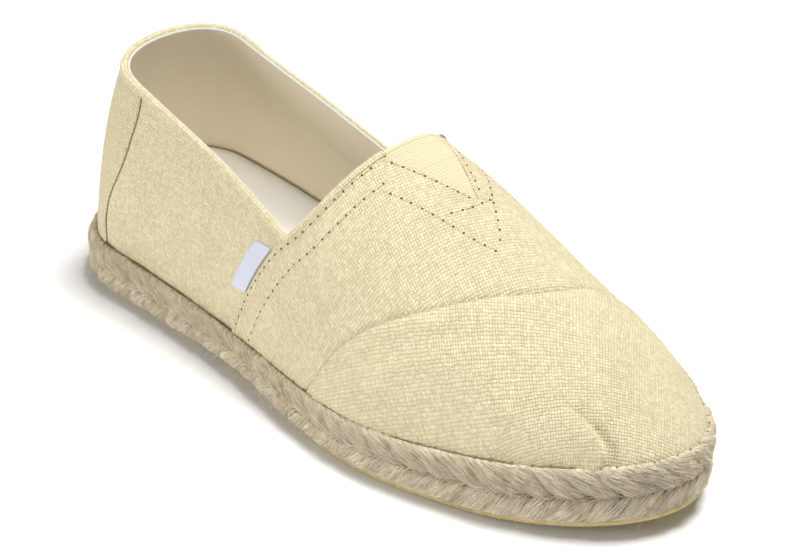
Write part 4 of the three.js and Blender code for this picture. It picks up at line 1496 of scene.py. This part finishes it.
# %% Ribbon
tag_phi, tag_theta = onto([(106.2, -32.1, 51.1), (114.2, -32.7, 51.2), (95.3, -32.9, 31.4), (103.1, -33.8, 31.9)])
a, b = np.meshgrid(np.linspace(0, 1, 26), np.linspace(0, 1, 16), indexing="ij")
blend = [(1 - a) * (1 - b), (1 - a) * b, a * (1 - b), a * b]
phi = sum(w * p for w, p in zip(blend, tag_phi))
theta = sum(w * p for w, p in zip(blend, tag_theta))
base, normal = skin(phi, theta)
round_edge = np.sqrt(np.clip(1 - (1 - np.minimum(b * 7, 1.0)) ** 2, 0, 1))
loose = 0.35 + 0.45 * round_edge + 0.12 * np.sin(a * pi) + soft_shape(base)
loose -= 0.25 * (np.exp(-(a / 0.04) ** 2) + np.exp(-((1 - a) / 0.04) ** 2))
points, faces = shell(base + normal * loose[..., None], base + normal * (soft_shape(base) - 0.05)[..., None])
measure = np.stack([a * 20, b * 7], -1).reshape(-1, 2)
piece("side_ribbon", points, faces, ribbon, ("side_tag",), np.concatenate([measure, measure]))

# %% [markdown]
# ## Loose fibres
# Jute sheds. Fine fibres lie along each strand and lift off it, and a few long curly ones hang at the floor. They
# are thin three-sided hairs. All their roots, directions and curls are drawn at once from seeded numbers.

# %% Hairs as thin tubes
def tubes(line, one, two, thick):
    """Closed three-sided tubes along many short lines at once, from two directions square to them and a thickness."""
    count, rings = line.shape[:2]
    angle = np.array([0, 2 * pi / 3, 4 * pi / 3])[:, None]
    ring = one[:, :, None] * np.cos(angle) + two[:, :, None] * np.sin(angle)
    grid = line[:, :, None] + thick[:, :, None, None] * ring
    per = rings * 3
    starts = np.arange(count)[:, None] * per
    faces = (quads(rings, 3, False, True)[None] + starts[:, None]).reshape(-1, 4).tolist()
    faces += (starts + [2, 1, 0]).tolist() + (starts + [per - 3, per - 2, per - 1]).tolist()
    return grid.reshape(-1, 3), faces, np.zeros((count * per, 2))


def hairs(root, ahead, curl, length, radius, rings=5, waves=0.0):
    """Tapering hairs: each runs ahead and bends by its curl as the square of the way along, with an optional wave."""
    t = np.linspace(0, 1, rings)
    one = unit(np.cross(ahead, np.array([0.31, 0.52, 0.79])))
    two = np.cross(unit(ahead), one)
    bent = ahead[:, None] * t[None, :, None] + curl[:, None] * (t ** 2)[None, :, None]
    line = root[:, None] + length[:, None, None] * bent
    if waves:
        swing, sway = np.sin(t[None] * 7 + root[:, :1] * 3.1), np.cos(t[None] * 5 + root[:, 1:2] * 2.7)
        line = line + waves * t[None, :, None] * (one[:, None] * swing[..., None] + two[:, None] * sway[..., None])
    return tubes(line, one[:, None], two[:, None], (radius * (1 - 0.75 * t))[None])


def rooted(draw, count):
    """Random places on the outward side of the two rows, with the directions along the yarn and outwards there."""
    row = draw.integers(0, 2, count)
    s, angle = draw.uniform(0, ROUND, count), draw.uniform(0.15, pi - 0.15, count)
    here, ahead, out = (np.zeros((count, 3)) for _ in range(3))
    for k in (0, 1):
        on = row == k
        here[on] = lay(k, s[on], angle[on])[0]
        ahead[on] = lay(k, s[on] + 0.5 * np.cos(LEAN[k]), angle[on] - 0.125 * np.sin(LEAN[k]))[0]
        out[on] = lay(k, s[on], angle[on], 1.0)[0]
    return here, unit(ahead - here), unit(out - here)


# %% Fuzz and long hairs
draw = np.random.default_rng(31)
count = 5600
root, along, out = rooted(draw, count)
ahead = unit(along * draw.normal(0.6, 0.6, (count, 1)) + out * draw.uniform(0.1, 0.55, (count, 1))
             + draw.normal(0, 0.22, (count, 3)))
curl = draw.normal(0, 0.4, (count, 3)) - out * 0.35
fuzz = hairs(root, ahead, curl, draw.uniform(1.2, 3.8, count), 0.05)
count = 620
root, along, out = rooted(draw, count)
ahead = unit(along * draw.normal(0, 0.9, (count, 1)) + out * draw.uniform(0.3, 0.8, (count, 1))
             + np.array([0, 0, -0.3]) + draw.normal(0, 0.3, (count, 3)))
curl = np.clip(draw.normal(0, 0.7, (count, 3)), -1.0, 1.0) + np.array([0, 0, -0.25])
long = hairs(root, ahead, curl, draw.uniform(4.0, 8.5, count), 0.055, 9, 0.9)
points, faces, flat = gather([fuzz, long])
points[:, 2] = np.maximum(points[:, 2], 0.15)
piece("rope_fuzz", points, faces, jute_hair, ("midsole",), flat)

# %% Fibres that lie along the yarns
draw, count, steps = np.random.default_rng(33), 7200, 5
row, s0 = draw.integers(0, 2, count), draw.uniform(0, ROUND, count)
angle0, long = draw.uniform(0.1, pi - 0.1, count), draw.uniform(3, 11, count)
step = np.arange(steps)
lean = np.where(row == 1, LEAN[1], LEAN[0]) + draw.normal(0, 0.22, count)
far = (step / (steps - 1) - 0.5)[None] * long[:, None]
s = s0[:, None] + far * np.cos(lean)[:, None]
angle = np.clip(angle0[:, None] - far * np.sin(lean)[:, None] / 4, -0.1, pi + 0.1)
lift = 0.04 + np.abs(draw.normal(0, 0.2, (count, 1))) * (step / (steps - 1)) ** 2
line = np.zeros((count, steps, 3))
for k in (0, 1):
    line[row == k] = lay(k, s[row == k], angle[row == k], lift[row == k])[0]
along = unit(np.gradient(line, axis=1))
one = unit(np.cross(along, np.array([0.31, 0.52, 0.79])))
thick = (0.12 * (1 - ((step - 2) / 2.6) ** 2))[None] * draw.uniform(0.6, 1.3, count)[:, None]
points, faces, flat = tubes(line, one, np.cross(along, one), thick)
piece("rope_fibres", points, faces, jute_hair, ("midsole",), flat)

# %% [markdown]
# ## End of the build
# The soft pieces may stand a little proud of the solid model, but not far.

# %% End of the build
print("all pieces built")
